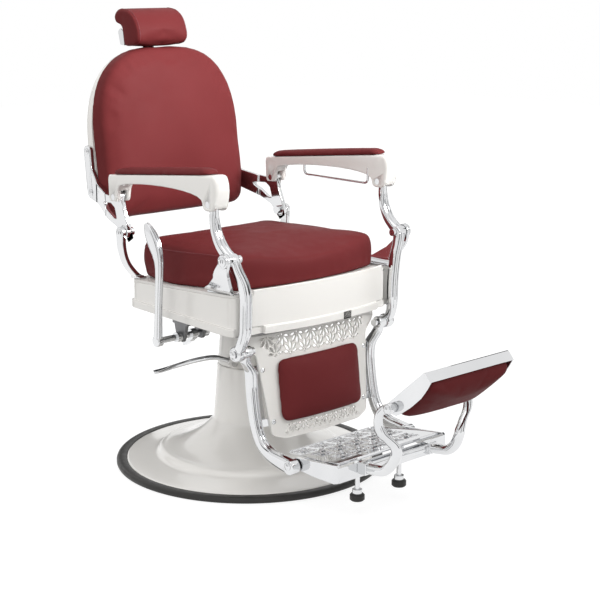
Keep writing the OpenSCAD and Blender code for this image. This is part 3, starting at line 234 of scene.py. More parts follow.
CARD_FAR, CARD_TOP = 1.7, 1.5
CARDS = ((-161, 0.24), (-104, 0.3), (-72, 0.2), (-14, 0.2), (16, 0.34), (62, 0.3), (104, 0.4), (160, 0.3))
black_card = bpy.data.materials.new("black_card")
black_card.use_nodes = True
card_shader = black_card.node_tree.nodes["Principled BSDF"]
card_shader.inputs["Base Color"].default_value = (0.03, 0.03, 0.032, 1)
card_shader.inputs["Roughness"].default_value = 0.9
for k, (turn, wide) in enumerate(CARDS):
    dark_card(f"dark_card_{k}", radians(turn), wide)
print(len(CARDS), "cards are set")

# %% [markdown]
# ## Finishes
#
# A finish is a shader with a few textures on its colour, roughness and relief. The textures read the
# object's own coordinates, which are metres, so a scale of 800 makes marks of about a millimetre. Image
# textures would need every piece unwrapped first, and these need nothing. One class holds the few set-ups
# that all finishes share.

# %% Finish helper
class Finish:
    """A material with its shader, and short ways to lay textures on it."""

    def __init__(self, name, **sockets):
        self.material = bpy.data.materials.new(name)
        self.material.use_nodes = True
        self.tree = self.material.node_tree
        self.shader = self.tree.nodes["Principled BSDF"]
        self.where = add_node(self.tree, "TexCoord").outputs["Object"]
        for socket, value in sockets.items():
            self.set(socket.replace("_", " "), value)

    def set(self, socket, value):
        put(self.tree, self.shader.inputs[socket], value)

    def noise(self, scale, detail=3.0, stretch=None):
        where = self.where
        if stretch:
            where = add_node(self.tree, "Mapping", Vector=where, Scale=stretch).outputs[0]
        return add_node(self.tree, "TexNoise", Vector=where, Scale=scale, Detail=detail).outputs["Fac"]

    def cells(self, scale):
        kind = {"feature": "DISTANCE_TO_EDGE"}
        return add_node(self.tree, "TexVoronoi", kind, Vector=self.where, Scale=scale).outputs["Distance"]

    def spread(self, value, low, high, start=0.3, end=0.7):
        made = add_node(self.tree, "MapRange", Value=value, From_Min=start, From_Max=end,
                        To_Min=low, To_Max=high)
        return made.outputs["Result"]

    def tint(self, value, dark, light):
        colours = {"data_type": "RGBA"}
        made = add_node(self.tree, "Mix", colours, Factor=value, A=(*dark, 1), B=(*light, 1))
        return made.outputs["Result"]

    def sum(self, a, b, share):
        return work_out(self.tree, "MULTIPLY_ADD", b, share, a)

    def relief(self, height, strength, depth):
        bump = add_node(self.tree, "Bump", Strength=strength, Distance=depth, Height=height)
        self.set("Normal", bump.outputs[0])


print("finish helper is ready")

# %% [markdown]
# ### Enamel, chrome and leathercloth
#
# The castings have a warm white enamel: glossy, with a clear top layer and the faint ripple of
# sprayed paint. The chrome is nearly a mirror, with slow changes in its polish. The leathercloth has
# pebbles of one or two millimetres with finer creases between them, a satin sheen, and a little
# variation of its dark red. The thread of its seams is redder and shinier. Painted images could show all
# this, but noise stays sharp however close the camera comes.

# %% Main finishes
enamel = Finish("white_enamel", Coat_Weight=0.5, Coat_Roughness=0.06)
enamel.set("Base Color", enamel.tint(enamel.noise(4, 1), (0.81, 0.79, 0.755), (0.835, 0.817, 0.785)))
enamel.set("Roughness", enamel.spread(enamel.noise(50, 3), 0.2, 0.23))
enamel.relief(enamel.noise(160, 2), 0.012, 0.0005)

chrome = Finish("polished_chrome", Metallic=1.0)
chrome.set("Base Color", chrome.tint(chrome.noise(9, 3), (0.66, 0.667, 0.68), (0.78, 0.784, 0.79)))
chrome.set("Roughness", chrome.spread(chrome.noise(28, 5), 0.035, 0.1))
chrome.relief(chrome.noise(60, 3), 0.02, 0.0008)

hide = Finish("red_leathercloth", Specular_IOR_Level=0.06)
pebbles = hide.spread(hide.cells(620), 0.0, 1.0, 0.0, 0.3)
creases = hide.noise(1500, 4)
hide.set("Base Color", hide.tint(hide.sum(hide.noise(5, 3), pebbles, 0.25),
                                 (0.108, 0.0162, 0.0172), (0.152, 0.0258, 0.0275)))
hide.set("Roughness", hide.spread(hide.noise(34, 4), 0.5, 0.6))
hide.relief(hide.sum(pebbles, creases, 0.5), 0.16, 0.0005)

thread_red = Finish("dark_red_welt", Specular_IOR_Level=0.4)
thread_red.set("Base Color", thread_red.tint(thread_red.noise(300, 2),
                                             (0.12, 0.012, 0.016), (0.2, 0.024, 0.03)))
thread_red.set("Roughness", thread_red.spread(thread_red.noise(90, 3), 0.42, 0.58))
thread_red.relief(thread_red.noise(900, 2), 0.2, 0.0004)

print("finishes of enamel, chrome, leathercloth and thread are ready")

# %% [markdown]
# ### Rubber, steel, bronze and board
#
# These are seen less, but each has its own grain. Rubber is dull and a little grey. Steel and bronze get
# lines by stretching the noise along one axis, as turning and drawing leave them, and the board is
# stretched the same way for the grain under its paint.

# %% Plain finishes
rubber = Finish("black_rubber", Specular_IOR_Level=0.35)
rubber.set("Base Color", rubber.tint(rubber.noise(22, 4), (0.022, 0.021, 0.020), (0.040, 0.038, 0.036)))
rubber.set("Roughness", rubber.spread(rubber.noise(60, 4), 0.36, 0.5))
rubber.relief(rubber.noise(700, 3), 0.12, 0.0004)

steel = Finish("plain_steel", Metallic=1.0)
steel.set("Base Color", steel.tint(steel.noise(30, 4), (0.16, 0.16, 0.165), (0.27, 0.27, 0.275)))
steel.set("Roughness", steel.spread(steel.noise(90, 4, (1, 9, 9)), 0.34, 0.52))
steel.relief(steel.noise(260, 3, (1, 12, 12)), 0.08, 0.0004)

bronze = Finish("machined_bronze", Metallic=1.0)
bronze.set("Base Color", bronze.tint(bronze.noise(40, 3), (0.42, 0.27, 0.1), (0.56, 0.38, 0.16)))
bronze.set("Roughness", bronze.spread(bronze.noise(120, 3, (1, 1, 14)), 0.25, 0.4))

painted_board = Finish("painted_board", Specular_IOR_Level=0.4)
painted_board.set("Base Color", painted_board.tint(painted_board.noise(14, 5, (9, 1, 30)),
                                                   (0.74, 0.72, 0.69), (0.80, 0.785, 0.755)))
painted_board.set("Roughness", painted_board.spread(painted_board.noise(40, 3), 0.34, 0.5))
painted_board.relief(painted_board.noise(120, 4, (10, 1, 10)), 0.05, 0.0005)
print("finishes of rubber, steel, bronze and board are ready")

# %% [markdown]
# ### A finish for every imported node
#
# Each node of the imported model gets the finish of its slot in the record. Setting finishes by hand would
# be as quick, but the record can't miss a node. Most visible nodes are replaced further down by pieces with
# the same place and a fuller shape, which use the same slots.

# %% Finishes on the nodes
FINISHES = {
    "white_enamel": enamel, "white_casting": enamel, "red_upholstery": hide, "black_rubber": rubber,
    "steel": steel, "bronze": bronze, "board": painted_board, "chrome": chrome,
}
slot_of = {part["node"]: part["material_slot"] for part in frame["record"]["subparts"]}
for n, slot in slot_of.items():
    nodes[n].data.materials.clear()
    nodes[n].data.materials.append(FINISHES[slot].material)
for slot in FINISHES:
    print(slot, "on", list(slot_of.values()).count(slot), "nodes")


def dress(obj, *stands_for, body=None, slot=None, finish=None):
    """The piece takes its body, slot and finish from the node that it stands for."""
    first = stands_for[0] if stands_for else None
    slot = slot or slot_of[first]
    obj.data.materials.clear()
    obj.data.materials.append((finish or FINISHES[slot]).material)
    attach(obj, body or body_of[first])
    if stands_for:
        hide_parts(*stands_for)
    return obj


# %% [markdown]
# ## Shapes from rings
#
# Turned, swept and cast pieces are all runs of rings: closed loops of points, joined side by side
# and closed at both ends. Blender's Screw modifier and bevelled curves could make some of them, but a
# section that changes along the way needs rings. One small class gathers such shells in millimetres
# and makes the mesh.

# %% Ring shapes
class Shape:
    """Points and faces in millimetres, gathered shell by shell."""

    def __init__(self):
        self.verts, self.faces = [], []

    def shell(self, rings, closed=True):
        count, start = len(rings[0]), len(self.verts)
        for ring in rings:
            self.verts += [Vector(p) for p in ring]
        for i in range(len(rings) - 1):
            for j in range(count):
                a, b = start + i * count + j, start + i * count + (j + 1) % count
                self.faces.append((a, b, b + count, a + count))
        if closed:
            last = start + (len(rings) - 1) * count
            self.faces.append(tuple(range(start + count - 1, start - 1, -1)))
            self.faces.append(tuple(range(last, last + count)))
        return self

    def turned(self, at, profile, steps=48):
        """A piece turned about the line along X through the point (y, z); the profile is (x, radius)."""
        angles = [2 * pi * k / steps for k in range(steps)]
        return self.shell([[(x, at[0] + r * cos(a), at[1] + r * sin(a)) for a in angles]
                           for x, r in profile])

    def mirrored(self):
        other = Shape()
        other.verts = [Vector((-v.x, v.y, v.z)) for v in self.verts]
        other.faces = [tuple(reversed(f)) for f in self.faces]
        return other

    def make(self, name, bend=38):
        mesh = bpy.data.meshes.new(name)
        mesh.from_pydata([v * MM for v in self.verts], [], self.faces)
        work = bmesh.new()
        work.from_mesh(mesh)
        bmesh.ops.recalc_face_normals(work, faces=work.faces)
        work.to_mesh(mesh)
        work.free()
        return as_object(mesh, name, bend)


def as_object(mesh, name, bend):
    mesh.polygons.foreach_set("use_smooth", [True] * len(mesh.polygons))
    mesh.set_sharp_from_angle(angle=radians(bend))
    mesh.name = name
    obj = bpy.data.objects.new(name, mesh)
    scene.collection.objects.link(obj)
    return obj


print("ring shapes are ready")

# %% [markdown]
# ## Base and column
#
# The foot of the chair is a spun dish with a raised step, a flare and a tapered column, and a rubber
# ring guards its edge. All of it is round about the swivel, so a profile turned about the upright
# axis is the natural way, with many steps because the rim is wide and its outline is plain to see.

# %% Dish, column foot and trim
def turned_upright(profile, steps=180):
    angles = [2 * pi * k / steps for k in range(steps)]
    made = Shape()
    rings = [[(r * cos(a), r * sin(a), z) for a in angles] for r, z in profile]
    made.shell(rings + [rings[0]], closed=False)
    return made


WALL, RIB_R, FLARE_STEPS = 5.0, 186, 22
FLARE = ((219, 44), (147, 56), (95, 116))
FLARE_SET_IN = ((0.4, 1.0), (0.7, 1.0), (1.0, 0.2))


def flare(t, wall=0.0):
    """Curve from the step of the dish up to the column, with its points set in by shares of the wall."""
    q = 1 - t
    rows = list(zip((q * q, 2 * q * t, t * t), FLARE, FLARE_SET_IN))
    return tuple(sum(share * (p[i] - wall * inset[i]) for share, p, inset in rows) for i in range(2))


dish = [(322.7, 2.6), (322.7, 13.5), (321.4, 15.2), (318, 16)]
dish += [(300, 19.2), (280, 22.2), (262, 24.6), (252, 26.2), (245, 28), (241, 30.5), (238.4, 34),
         (236, 37.6), (232, 40.8), (227, 42.8), (222, 43.7)]
dish += [flare(k / FLARE_STEPS) for k in range(FLARE_STEPS + 1)]
dish += [(94.2, 119), (92, 150), (88, 200), (83.6, 258), (83, 260.5), (81.6, 262), (78.6, 262), (78, 260)]
dish += [p for p in (flare(k / FLARE_STEPS, WALL) for k in range(FLARE_STEPS, -1, -1)) if p[0] < RIB_R]
dish += [(190, 46), (190, 30.6), (190.6, 30), (222, 30), (231, 31), (236, 25), (244, 21), (317.7, 9),
         (317.7, 2.6), (318.3, 2), (322.1, 2)]
base = dress(turned_upright(dish).make("base_dish", 50), "base_shell")

rim = [(323, 0.4), (346, 0.4), (349, 2), (350, 4.5), (350, 9.5), (348.8, 12.6), (346, 15), (342, 16),
       (328, 16), (325, 15.2), (323, 13.4)]
dress(turned_upright(rim, 220).make("base_trim_ring", 50), "base_trim")
print("base is", round(base.dimensions.x, 3), "m wide inside its trim")

# %% [markdown]
# ## Castings with rounded edges
#
# Cast and forged pieces have no sharp edges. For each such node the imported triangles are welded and
# merged back into whole faces, and a Bevel modifier rounds the edges. That keeps every hole and face
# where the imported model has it, and puts a highlight on each edge. The two pierced plates are only
# welded, because beads go along their edges further down.

# %% Round the edges of castings
def cast(node, edge, steps=3, bend=34):
    source = nodes[node].data
    mesh = bpy.data.meshes.new(node)
    mesh.from_pydata([v.co for v in source.vertices], [], [tuple(p.vertices) for p in source.polygons])
    work = bmesh.new()
    work.from_mesh(mesh)
    bmesh.ops.remove_doubles(work, verts=work.verts, dist=2e-5)
    if edge:
        bmesh.ops.dissolve_limit(work, angle_limit=radians(0.6), verts=work.verts, edges=work.edges)
    bmesh.ops.recalc_face_normals(work, faces=work.faces)
    work.to_mesh(mesh)
    work.free()
    obj = as_object(mesh, node + "_cast", bend)
    if edge:
        rounding = obj.modifiers.new("rounded edges", "BEVEL")
        rounding.width = edge * MM
        rounding.segments = steps
        rounding.limit_method = "ANGLE"
        rounding.angle_limit = radians(bend)
        rounding.use_clamp_overlap = False
        rounding.harden_normals = True
    return dress(obj, node)


EDGES = {
    "pump_head": 1.2, "seat_frame": 2.2, "front_bracket_right": 1.6, "front_bracket_left": 1.6,
    "rear_strut_right": 2.2, "rear_strut_left": 2.2, "back_bracket_right": 2.4, "back_bracket_left": 2.4,
    "lever_bracket": 0.8, "legrest_panel": 0, "footrest_frame": 1.0, "footrest_tread": 0,
    "foot_crossbar": 1.6, "seat_board": 0.8, "flip_tray": 0.9, "headrest_post": 0.6,
    "headrest_bracket": 0.6,
}
castings = {node: cast(node, edge) for node, edge in EDGES.items()}
print(sum(edge > 0 for edge in EDGES.values()), "castings have rounded edges")

# %% [markdown]
# ### Beads
#
# The pierced plates have raised edges and the covers have seams. Both are a thin half-round bead along a
# closed run of points. A bevelled curve could twist at the bends, so each ring of the bead is set up on
# the normal of the surface that it lies on. The run is spaced evenly first, so that its faces have one
# size.

# %% Bead helper
def even_loop(points, count):
    """A closed run of points with its points spaced evenly."""
    loop = points + points[:1]
    along = [0.0]
    for a, b in zip(loop, loop[1:]):
        along.append(along[-1] + Vector((b - a)[:3]).length)
    made, i = [], 0
    for k in range(count):
        goal = along[-1] * k / count
        while along[i + 1] < goal:
            i += 1
        span = along[i + 1] - along[i]
        made.append(loop[i].lerp(loop[i + 1], (goal - along[i]) / span if span else 0))
    return made


def bead(shape, run, radius, aside=0.0, step=3.5):
    """A bead along a closed run of rows, each a point and its normal in millimetres."""
    length = sum(Vector((b - a)[:3]).length for a, b in zip(run, run[1:] + run[:1]))
    run = even_loop(run, max(8, round(length / step)))
    turns = [radians(36 * k - 36) for k in range(8)]
    rings = []
    for k, row in enumerate(run):
        along = Vector((run[(k + 1) % len(run)] - run[k - 1])[:3]).normalized()
        out = Vector(row[3:]).normalized()
        side = out.cross(along)
        middle = Vector(row[:3]) + side * aside
        rings.append([middle + (side * cos(a) + out * sin(a)) * radius for a in turns])
    shape.shell(rings + rings[:1], closed=False)


print("bead helper is ready")

# %% [markdown]
# ### Raised edges of the pierced plates
#
# The leaves in the panel and in the tread have raised edges that catch the light. The edges between
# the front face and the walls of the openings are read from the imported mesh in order, with the front
# face on their left, and a bead is laid along each run. So every bead fits its opening by itself.

# %% Beads along the openings
def runs_of(following):
    """Closed runs from a table that names the next point of each point."""
    left = dict(following)
    while left:
        start = here = next(iter(left))
        run = []
        while here in left:
            run.append(here)
            here = left.pop(here)
        if here == start and len(run) > 2:
            yield run


FACING, TURNED_AWAY = 0.95, 0.8


def raised_edges(node, name, front, radius):
    """Beads where faces that look to the front meet walls that don't."""
    work = bmesh.new()
    work.from_mesh(castings[node].data)
    rows, following = {}, {}
    for face in work.faces:
        if face.normal.dot(front) > FACING:
            for corner in face.loops:
                if corner.link_loop_radial_next.face.normal.dot(front) < TURNED_AWAY:
                    rows[corner.vert.index] = Vector((*(corner.vert.co / MM), *face.normal))
                    following[corner.vert.index] = corner.link_loop_next.vert.index
    work.free()
    made = Shape()
    runs = list(runs_of(following))
    for run in runs:
        bead(made, [rows[i] for i in run], radius, radius * 0.9)
    print(name, "has", len(runs), "beads")
    obj = made.make(name, 60)
    return dress(obj, body=body_of[node], slot=slot_of[node])


PANEL_FRONT, TREAD_TOP = Vector((0, -0.9925, 0.1219)), Vector((0, 0.1328, 0.9911))
raised_edges("legrest_panel", "panel_beads", PANEL_FRONT, 1.3)
raised_edges("footrest_tread", "tread_beads", TREAD_TOP, 1.2)

# %% [markdown]
# ## Armrests
#
# Each armrest is a thick casting whose outline is seen from the side: a straight top, an arch below
# and a fork at each end. The points of its corners and one curve for the arch are enough to write it
# down. Points are added along the straight stretches before a spline smooths it, because a spline
# through the corners alone would swing out between them. Blender's curves could do the same, but each would
# have to become a mesh again before it is used.

# %% Armrest outline
def spline(rows, steps, closed=False):
    """A smooth run through rows of numbers."""
    rows = [Vector(r) for r in rows]
    count = len(rows)
    at = (lambda i: rows[i % count]) if closed else (lambda i: rows[min(max(i, 0), count - 1)])
    made = []
    for i in range(count if closed else count - 1):
        a, b, c, d = at(i - 1), at(i), at(i + 1), at(i + 2)
        for k in range(steps):
            t = k / steps
            made.append(0.5 * (2 * b + (c - a) * t + (2 * a - 5 * b + 4 * c - d) * t * t
                               + (3 * b - a - 3 * c + d) * t ** 3))
    return made if closed else made + [rows[-1]]


def closer_points(points, step):
    """A closed outline with points added along its long stretches."""
    made = []
    for a, b in zip(points, points[1:] + points[:1]):
        a, b = Vector(a), Vector(b)
        pieces = max(1, round((b - a).length / step))
        made += [a + (b - a) * k / pieces for k in range(pieces)]
    return made


def arch_curve(a, b, c, d, steps):
    """A curve from a to d that b and c pull on."""
    made = []
    for k in range(steps + 1):
        t, q = k / steps, 1 - k / steps
        made.append(tuple(q ** 3 * a[i] + 3 * q * q * t * b[i] + 3 * q * t * t * c[i] + t ** 3 * d[i]
                          for i in range(2)))
    return made


arm_side = [(203, 757), (-214, 799), (-226, 799), (-234, 793), (-239, 782), (-240, 764), (-236, 744),
            (-231, 728), (-224, 718), (-216, 715), (-196, 715), (-188, 720), (-184, 732)]
arm_side += arch_curve((-180, 738), (-150, 762), (90, 754), (158, 734), 10)
arm_side += [(166, 722), (170, 700), (175, 692), (199, 691), (205, 698), (207, 745)]
arm_outline = spline(closer_points(arm_side, 9), 2, closed=True)
print("the outline of an armrest has", len(arm_outline), "points")

# %% [markdown]
# ### Castings of the armrests
#
# The edges of the casting are rounded by different amounts, wide at the front end and narrow at the
# forks, and a Bevel modifier has one width for all. So the outline is carried across the width in rings
# that draw in by a radius of their own at every point. Both arms also splay outwards a little.

# %% Armrest rings
ARM_W = 44.0
ARM_SPLAY, ARM_MID = radians(2.34), (271, -8)
EDGE_R, NOSE_R, NOSE_AT, NOSE_REACH = 4, 9, (-232, 784), 60


def in_arm(x, y, z):
    """A point of the straight arm, turned outwards about the arm's middle."""
    c, s = cos(ARM_SPLAY), sin(ARM_SPLAY)
    ahead = y - ARM_MID[1]
    return (ARM_MID[0] + x * c - ahead * s, ARM_MID[1] + x * s + ahead * c, z)


def inward(points):
    """Unit normals of a closed outline, pointing into it."""
    area = sum(a.x * b.y - b.x * a.y for a, b in zip(points, points[1:] + points[:1]))
    sign = 1 if area > 0 else -1
    made = []
    for k, _ in enumerate(points):
        d = (points[(k + 1) % len(points)] - points[k - 1]).normalized()
        made.append(Vector((-d.y, d.x)) * sign)
    return made


def arm_casting():
    normals = inward(arm_outline)
    from_nose = [hypot(p.x - NOSE_AT[0], p.y - NOSE_AT[1]) for p in arm_outline]
    radius = [EDGE_R + NOSE_R * max(0, 1 - far / NOSE_REACH) for far in from_nose]
    turns = [radians(15 * k) for k in range(7)]
    rings = []
    for sign, order in ((-1, reversed(turns)), (1, turns)):
        for t in order:
            rings.append([in_arm(sign * (ARM_W / 2 - r + r * sin(t)), *(p + n * r * (1 - cos(t))))
                          for p, n, r in zip(arm_outline, normals, radius)])
    return Shape().shell(rings)


arm = arm_casting()
print("an armrest has", len(arm.faces), "faces before it is cut")

# %% [markdown]
# ### Cutting
#
# Slots and holes are milled into castings. A Boolean modifier does the same: it takes one solid away from
# another, and each cutter gets a modifier of its own. Modelling the faces round a slot by hand would be slow
# and easy to get wrong. The result is kept as a plain mesh, and the cutters are thrown away.

# %% Cutting helper
def evaluated(obj):
    """The mesh of an object with its modifiers applied."""
    return bpy.data.meshes.new_from_object(obj.evaluated_get(bpy.context.evaluated_depsgraph_get()))


def carve(obj, cutters):
    for cut in cutters:
        tool = cut.make("cutter")
        step = obj.modifiers.new("cut", "BOOLEAN")
        step.operation, step.solver, step.object = "DIFFERENCE", "EXACT", tool
    shaped = evaluated(obj)
    for step in list(obj.modifiers):
        tool = step.object
        obj.modifiers.remove(step)
        bpy.data.objects.remove(tool)
    obj.data = shaped
    return obj


print("cutting helper is ready")

# %% [markdown]
# ### Forks of the armrests
#
# The bracket of the back and the front leg end in eyes that sit inside the armrest's ends, each on a pin.
# So a slot is cut into each end, and a hole into both cheeks beside it. The casting could be built with
# its forks, but its rings are simpler without them. The right armrest is the mirror of the left.

# %% Cut the forks
P_ARM, P_FRONT = (188, 702), (-204, 730)
REAR_FORK_X, FRONT_FORK_X = (252, 274), (267, 291)
SLOT_R, PIN_HOLE_R, PIN_HOLE_L, CHEEK = 15.5, 8.3, 22, 28.5


def fork_cutters():
    """Solids of both slots and of the four pin holes beside them."""
    cuts = []
    rear = [(140, 680), (240, 680), (240, 720), (140, 720)]
    turns = [radians(a) for a in range(190, -1, -10)]
    arc = [(P_FRONT[0] + SLOT_R * cos(a), P_FRONT[1] + SLOT_R * sin(a)) for a in turns]
    front = arc + [(P_FRONT[0] + SLOT_R, 690), (-262, 690)]
    for slot, pin, faces in ((rear, P_ARM, REAR_FORK_X), (front, P_FRONT, FRONT_FORK_X)):
        cuts.append(Shape().shell([[(x, y, z) for y, z in slot] for x in faces]))
        for side in (-1, 1):
            mid = sum(faces) / 2 + side * CHEEK
            ends = (mid - PIN_HOLE_L / 2, mid + PIN_HOLE_L / 2)
            cuts.append(Shape().turned(pin, [(x, PIN_HOLE_R) for x in ends], 32))
    return cuts


cuts = fork_cutters()
left_arm = dress(carve(arm.make("armrest_casting_left", 30), cuts), "armrest_left")
other_arm = arm.mirrored().make("armrest_casting_right", 30)
dress(carve(other_arm, [c.mirrored() for c in cuts]), "armrest_right")
print("armrest length", round(left_arm.dimensions.y, 3), "m")

# %% [markdown]
# ## Outline of the back
#
# The back of the chair is an arch on a narrowing foot. It could be traced point by point, but a
# flattened ellipse with fillets at the foot gives it from a few sizes, and they can be changed later.

# %% Outline of the back
LEAN = radians(8)
BACK_AT = (269, 632)
BACK_W, BACK_H, BACK_RISE, BACK_FOOT = 460.0, 434.0, 170.0, 404.0
ARCH_WIDE, ARCH_HIGH, FOOT_R = 0.78, 0.8, 46
ARCH_STEPS, OUTLINE_POINTS = 60, 150


def in_back(x, v, w):
    """A point of the upright back, with v to the rear and w upwards, leaned about its foot."""
    c, s = cos(LEAN), sin(LEAN)
    return (x, BACK_AT[0] + v * c + w * s, BACK_AT[1] - v * s + w * c)


def fillet(a, b, c, r, steps):
    a, b, c = Vector(a), Vector(b), Vector(c)
    u, w = (a - b).normalized(), (c - b).normalized()
    reach = r / tan(u.angle(w) / 2)
    p, q = b + u * reach, b + w * reach
    shares = [k / steps for k in range(steps + 1)]
    return [p * (1 - t) ** 2 + b * 2 * t * (1 - t) + q * t * t for t in shares]


def back_outline():
    a, b = BACK_W / 2, BACK_H - BACK_RISE
    arch = []
    for k in range(ARCH_STEPS + 1):
        t = pi * k / ARCH_STEPS
        c = cos(t)
        x = (a * abs(c) ** ARCH_WIDE) * (1 if c > 0 else -1)
        arch.append(Vector((x, BACK_RISE + b * max(0, sin(t)) ** ARCH_HIGH)))
    half = BACK_FOOT / 2
    foot = fillet((-a, BACK_RISE * 0.5), (-half - 2, 0), (0, 0), FOOT_R, 12)
    side = [Vector((-a + 1, BACK_RISE * 0.72)), Vector((-a + 5, BACK_RISE * 0.46))]
    left = side + foot + [Vector((-half * 0.4, 0))]
    return arch + left + [Vector((-p.x, p.y)) for p in reversed(left)]


outline = even_loop(spline(back_outline(), 3, closed=True), OUTLINE_POINTS)
print("the outline of the back has", len(outline), "points")

# %% [markdown]
# ### Shell of the back
#
# Behind the back cushion stands a pressed shell with a flat rim and a rounded rear edge. Rings of the
# outline, drawn in towards the rear, give the rounding, and scaled rings close the rear face with a
# slight crown so that it doesn't look like sheet. A slot in its top lets the post of the headrest in.

# %% Back shell
SHELL_FRONT, SHELL_REAR, EDGE, CROWN = 50.4, 88.4, 19.0, 3
FRONT_SKIN, REAR_SKIN = 1.5, 5.7
SLOT_HALF, SLOT_DEEP, SLOT_PAST = 26, 70, 30
normals = inward(outline)


def back_ring(inset, v):
    return [in_back(p.x + n.x * inset, v, p.y + n.y * inset) for p, n in zip(outline, normals)]


rings = [back_ring(3, SHELL_FRONT), back_ring(0.8, SHELL_FRONT + 0.6), back_ring(0, SHELL_FRONT + 2.5)]
for k in range(10):
    t = radians(10 * k)
    rings.append(back_ring(EDGE * (1 - cos(t)), SHELL_REAR - CROWN - EDGE + EDGE * sin(t)))
middle = Vector((0, BACK_H * 0.46))
drawn = [p + n * EDGE for p, n in zip(outline, normals)]
for f in (0.97, 0.9, 0.8, 0.65, 0.45, 0.2):
    smaller = [middle + (p - middle) * f for p in drawn]
    rings.append([in_back(q.x, SHELL_REAR - CROWN * f * f, q.y) for q in smaller])
shell = Shape().shell(rings).make("back_shell_pressing", 40)
near, far = SHELL_FRONT + FRONT_SKIN, SHELL_REAR - REAR_SKIN
slot_box = [(-SLOT_HALF, near), (SLOT_HALF, near), (SLOT_HALF, far), (-SLOT_HALF, far)]
slot_ends = (BACK_H - SLOT_DEEP, BACK_H + SLOT_PAST)
slot_cut = Shape().shell([[in_back(x, v, w) for x, v in slot_box] for w in slot_ends])
dress(carve(shell, [slot_cut]), "back_shell")
print("back shell", [round(d, 3) for d in shell.dimensions])

# %% [markdown]
# ## Chromed bars
#
# The legs, the side bars, the levers and the tray arms are forged bars, bent in several curves. The legs
# and side bars carry three reeds on the front, which fade out near the eyes. Their section is a squared-off
# oval with two soft grooves. It comes from a formula, because drawn points would have to be drawn again for
# every depth of the grooves.

# %% Sections of bars
FRONT_STEPS, REAR_STEPS = 44, 20
FRONT_SQUARE, REAR_SQUARE = 3.6, 3.2
GROOVE_AT, GROOVE_WIDE, GROOVE_DEEP = 0.36, 0.075, 0.34
REED_SWELL, REED_WAVES = 0.03, 2.94


def reeded(fade, face):
    """Bar section with three reeds on one face; fade 0 leaves that face plain."""
    made = []
    for k in range(FRONT_STEPS):
        u = -cos(pi * k / FRONT_STEPS)
        v = -(1 - abs(u) ** FRONT_SQUARE) ** (1 / FRONT_SQUARE)
        groove = sum(exp(-((u - g) / GROOVE_WIDE) ** 2) for g in (-GROOVE_AT, GROOVE_AT))
        swell = REED_SWELL * cos(REED_WAVES * pi * u) * (1 - u * u)
        made.append((u, v + fade * (GROOVE_DEEP * groove + swell)))
    for k in range(REAR_STEPS):
        u = cos(pi * k / REAR_STEPS)
        made.append((u, (1 - abs(u) ** REAR_SQUARE) ** (1 / REAR_SQUARE)))
    return [(u, -v) for u, v in reversed(made)] if face < 0 else made


def round_bar(count=28):
    return [(cos(2 * pi * k / count), sin(2 * pi * k / count)) for k in range(count)]


def fade_between(start, end, soft):
    """How deep the grooves are along a bar: 1 between start and end, and softly 0 outside."""
    return lambda t: max(0.0, min(1.0, (t - start) / soft, (end - t) / soft))


print("a reeded section has", len(reeded(1, 1)), "points")

# %% [markdown]
# ### Sweeping
#
# A bar is its section carried along a smooth path, wider or thinner as the path goes. A bevelled curve keeps
# one section all the way, so each bar is a run of rings here. Most bars come in pairs, and the right one is
# the mirror of the left.

# %% Sweep helper
def swept(rows, section, steps=6):
    """Rings along a path; a row is x, y, z, half width along X and half depth across the path."""
    path = spline(rows, steps)
    rings = []
    for i, p in enumerate(path):
        a, b = path[max(i - 1, 0)], path[min(i + 1, len(path) - 1)]
        d = Vector((b[1] - a[1], b[2] - a[2])).normalized()
        share = i / (len(path) - 1)
        rings.append([(p[0] + u * p[3], p[1] + v * p[4] * d.y, p[2] - v * p[4] * d.x)
                      for u, v in section(share)])
    return rings


def pair(shape, name, node):
    """The left piece and its mirror."""
    dress(shape.make(name + "_left"), node + "_left")
    dress(shape.mirrored().make(name + "_right"), node + "_right")


print("sweep helper is ready")

# %% [markdown]
# ### Front legs
#
# A front leg hangs from the arm, passes its pivot beside the seat and ends in a thick scroll. Its path
# swings inwards below the pivot, and its rows hold the place and both half sizes of the bar. The eyes are
# turned bosses with rounded rims, set into the bar, which is simpler than shaping them out of it.

# %% Front legs
def rounded_ends(x0, x1, r, edge, steps=5):
    """Profile of a turned boss from x0 to x1 with rounded rims."""
    turn = [k / steps * pi / 2 for k in range(steps + 1)]
    first = [(x0 + edge * (1 - sin(t)), r - edge * (1 - cos(t))) for t in reversed(turn)]
    last = [(x1 - edge * (1 - sin(t)), r - edge * (1 - cos(t))) for t in turn]
    return first + last


P_LEG, P_SCROLL, LEG_X = (-263, 606), (-250, 376), 280
leg_rows = [(252, -250, 376, 12, 11.5), (252, -263, 397, 12, 11.5), (248, -273, 430, 14, 11.5),
            (247, -275, 480, 14, 11.5), (249, -277, 520, 14, 11.5), (256, -275, 552, 14, 11.5),
            (269, -271, 580, 14, 11.5), (277.5, -264, 604, 14, 13.5), (279, -246, 618, 14, 11.5),
            (279.5, -226, 638, 14, 10.5), (280, -211, 666, 13, 9.5), (280, -205, 694, 11, 9.5),
            (280, -204, 710, 9, 10), (280, -204, 722, 9, 10)]
leg_fade = fade_between(0.1, 0.86, 0.06)
leg = Shape().shell(swept(leg_rows, lambda t: reeded(leg_fade(t), 1)))
leg.turned(P_FRONT, rounded_ends(LEG_X - 9, LEG_X + 9, 13, 2))
leg.turned(P_LEG, rounded_ends(LEG_X - 14, LEG_X + 14, 15, 3))
leg.turned(P_SCROLL, [(239, 9), (239.2, 14), (241, 17.6), (244.5, 19), (258.5, 19), (262, 17.8),
                      (264.3, 15), (264.6, 12.4), (263.2, 11.6), (263, 9)])
pair(leg, "leg_bar", "front_leg")
print("a leg has", len(leg.verts), "points")

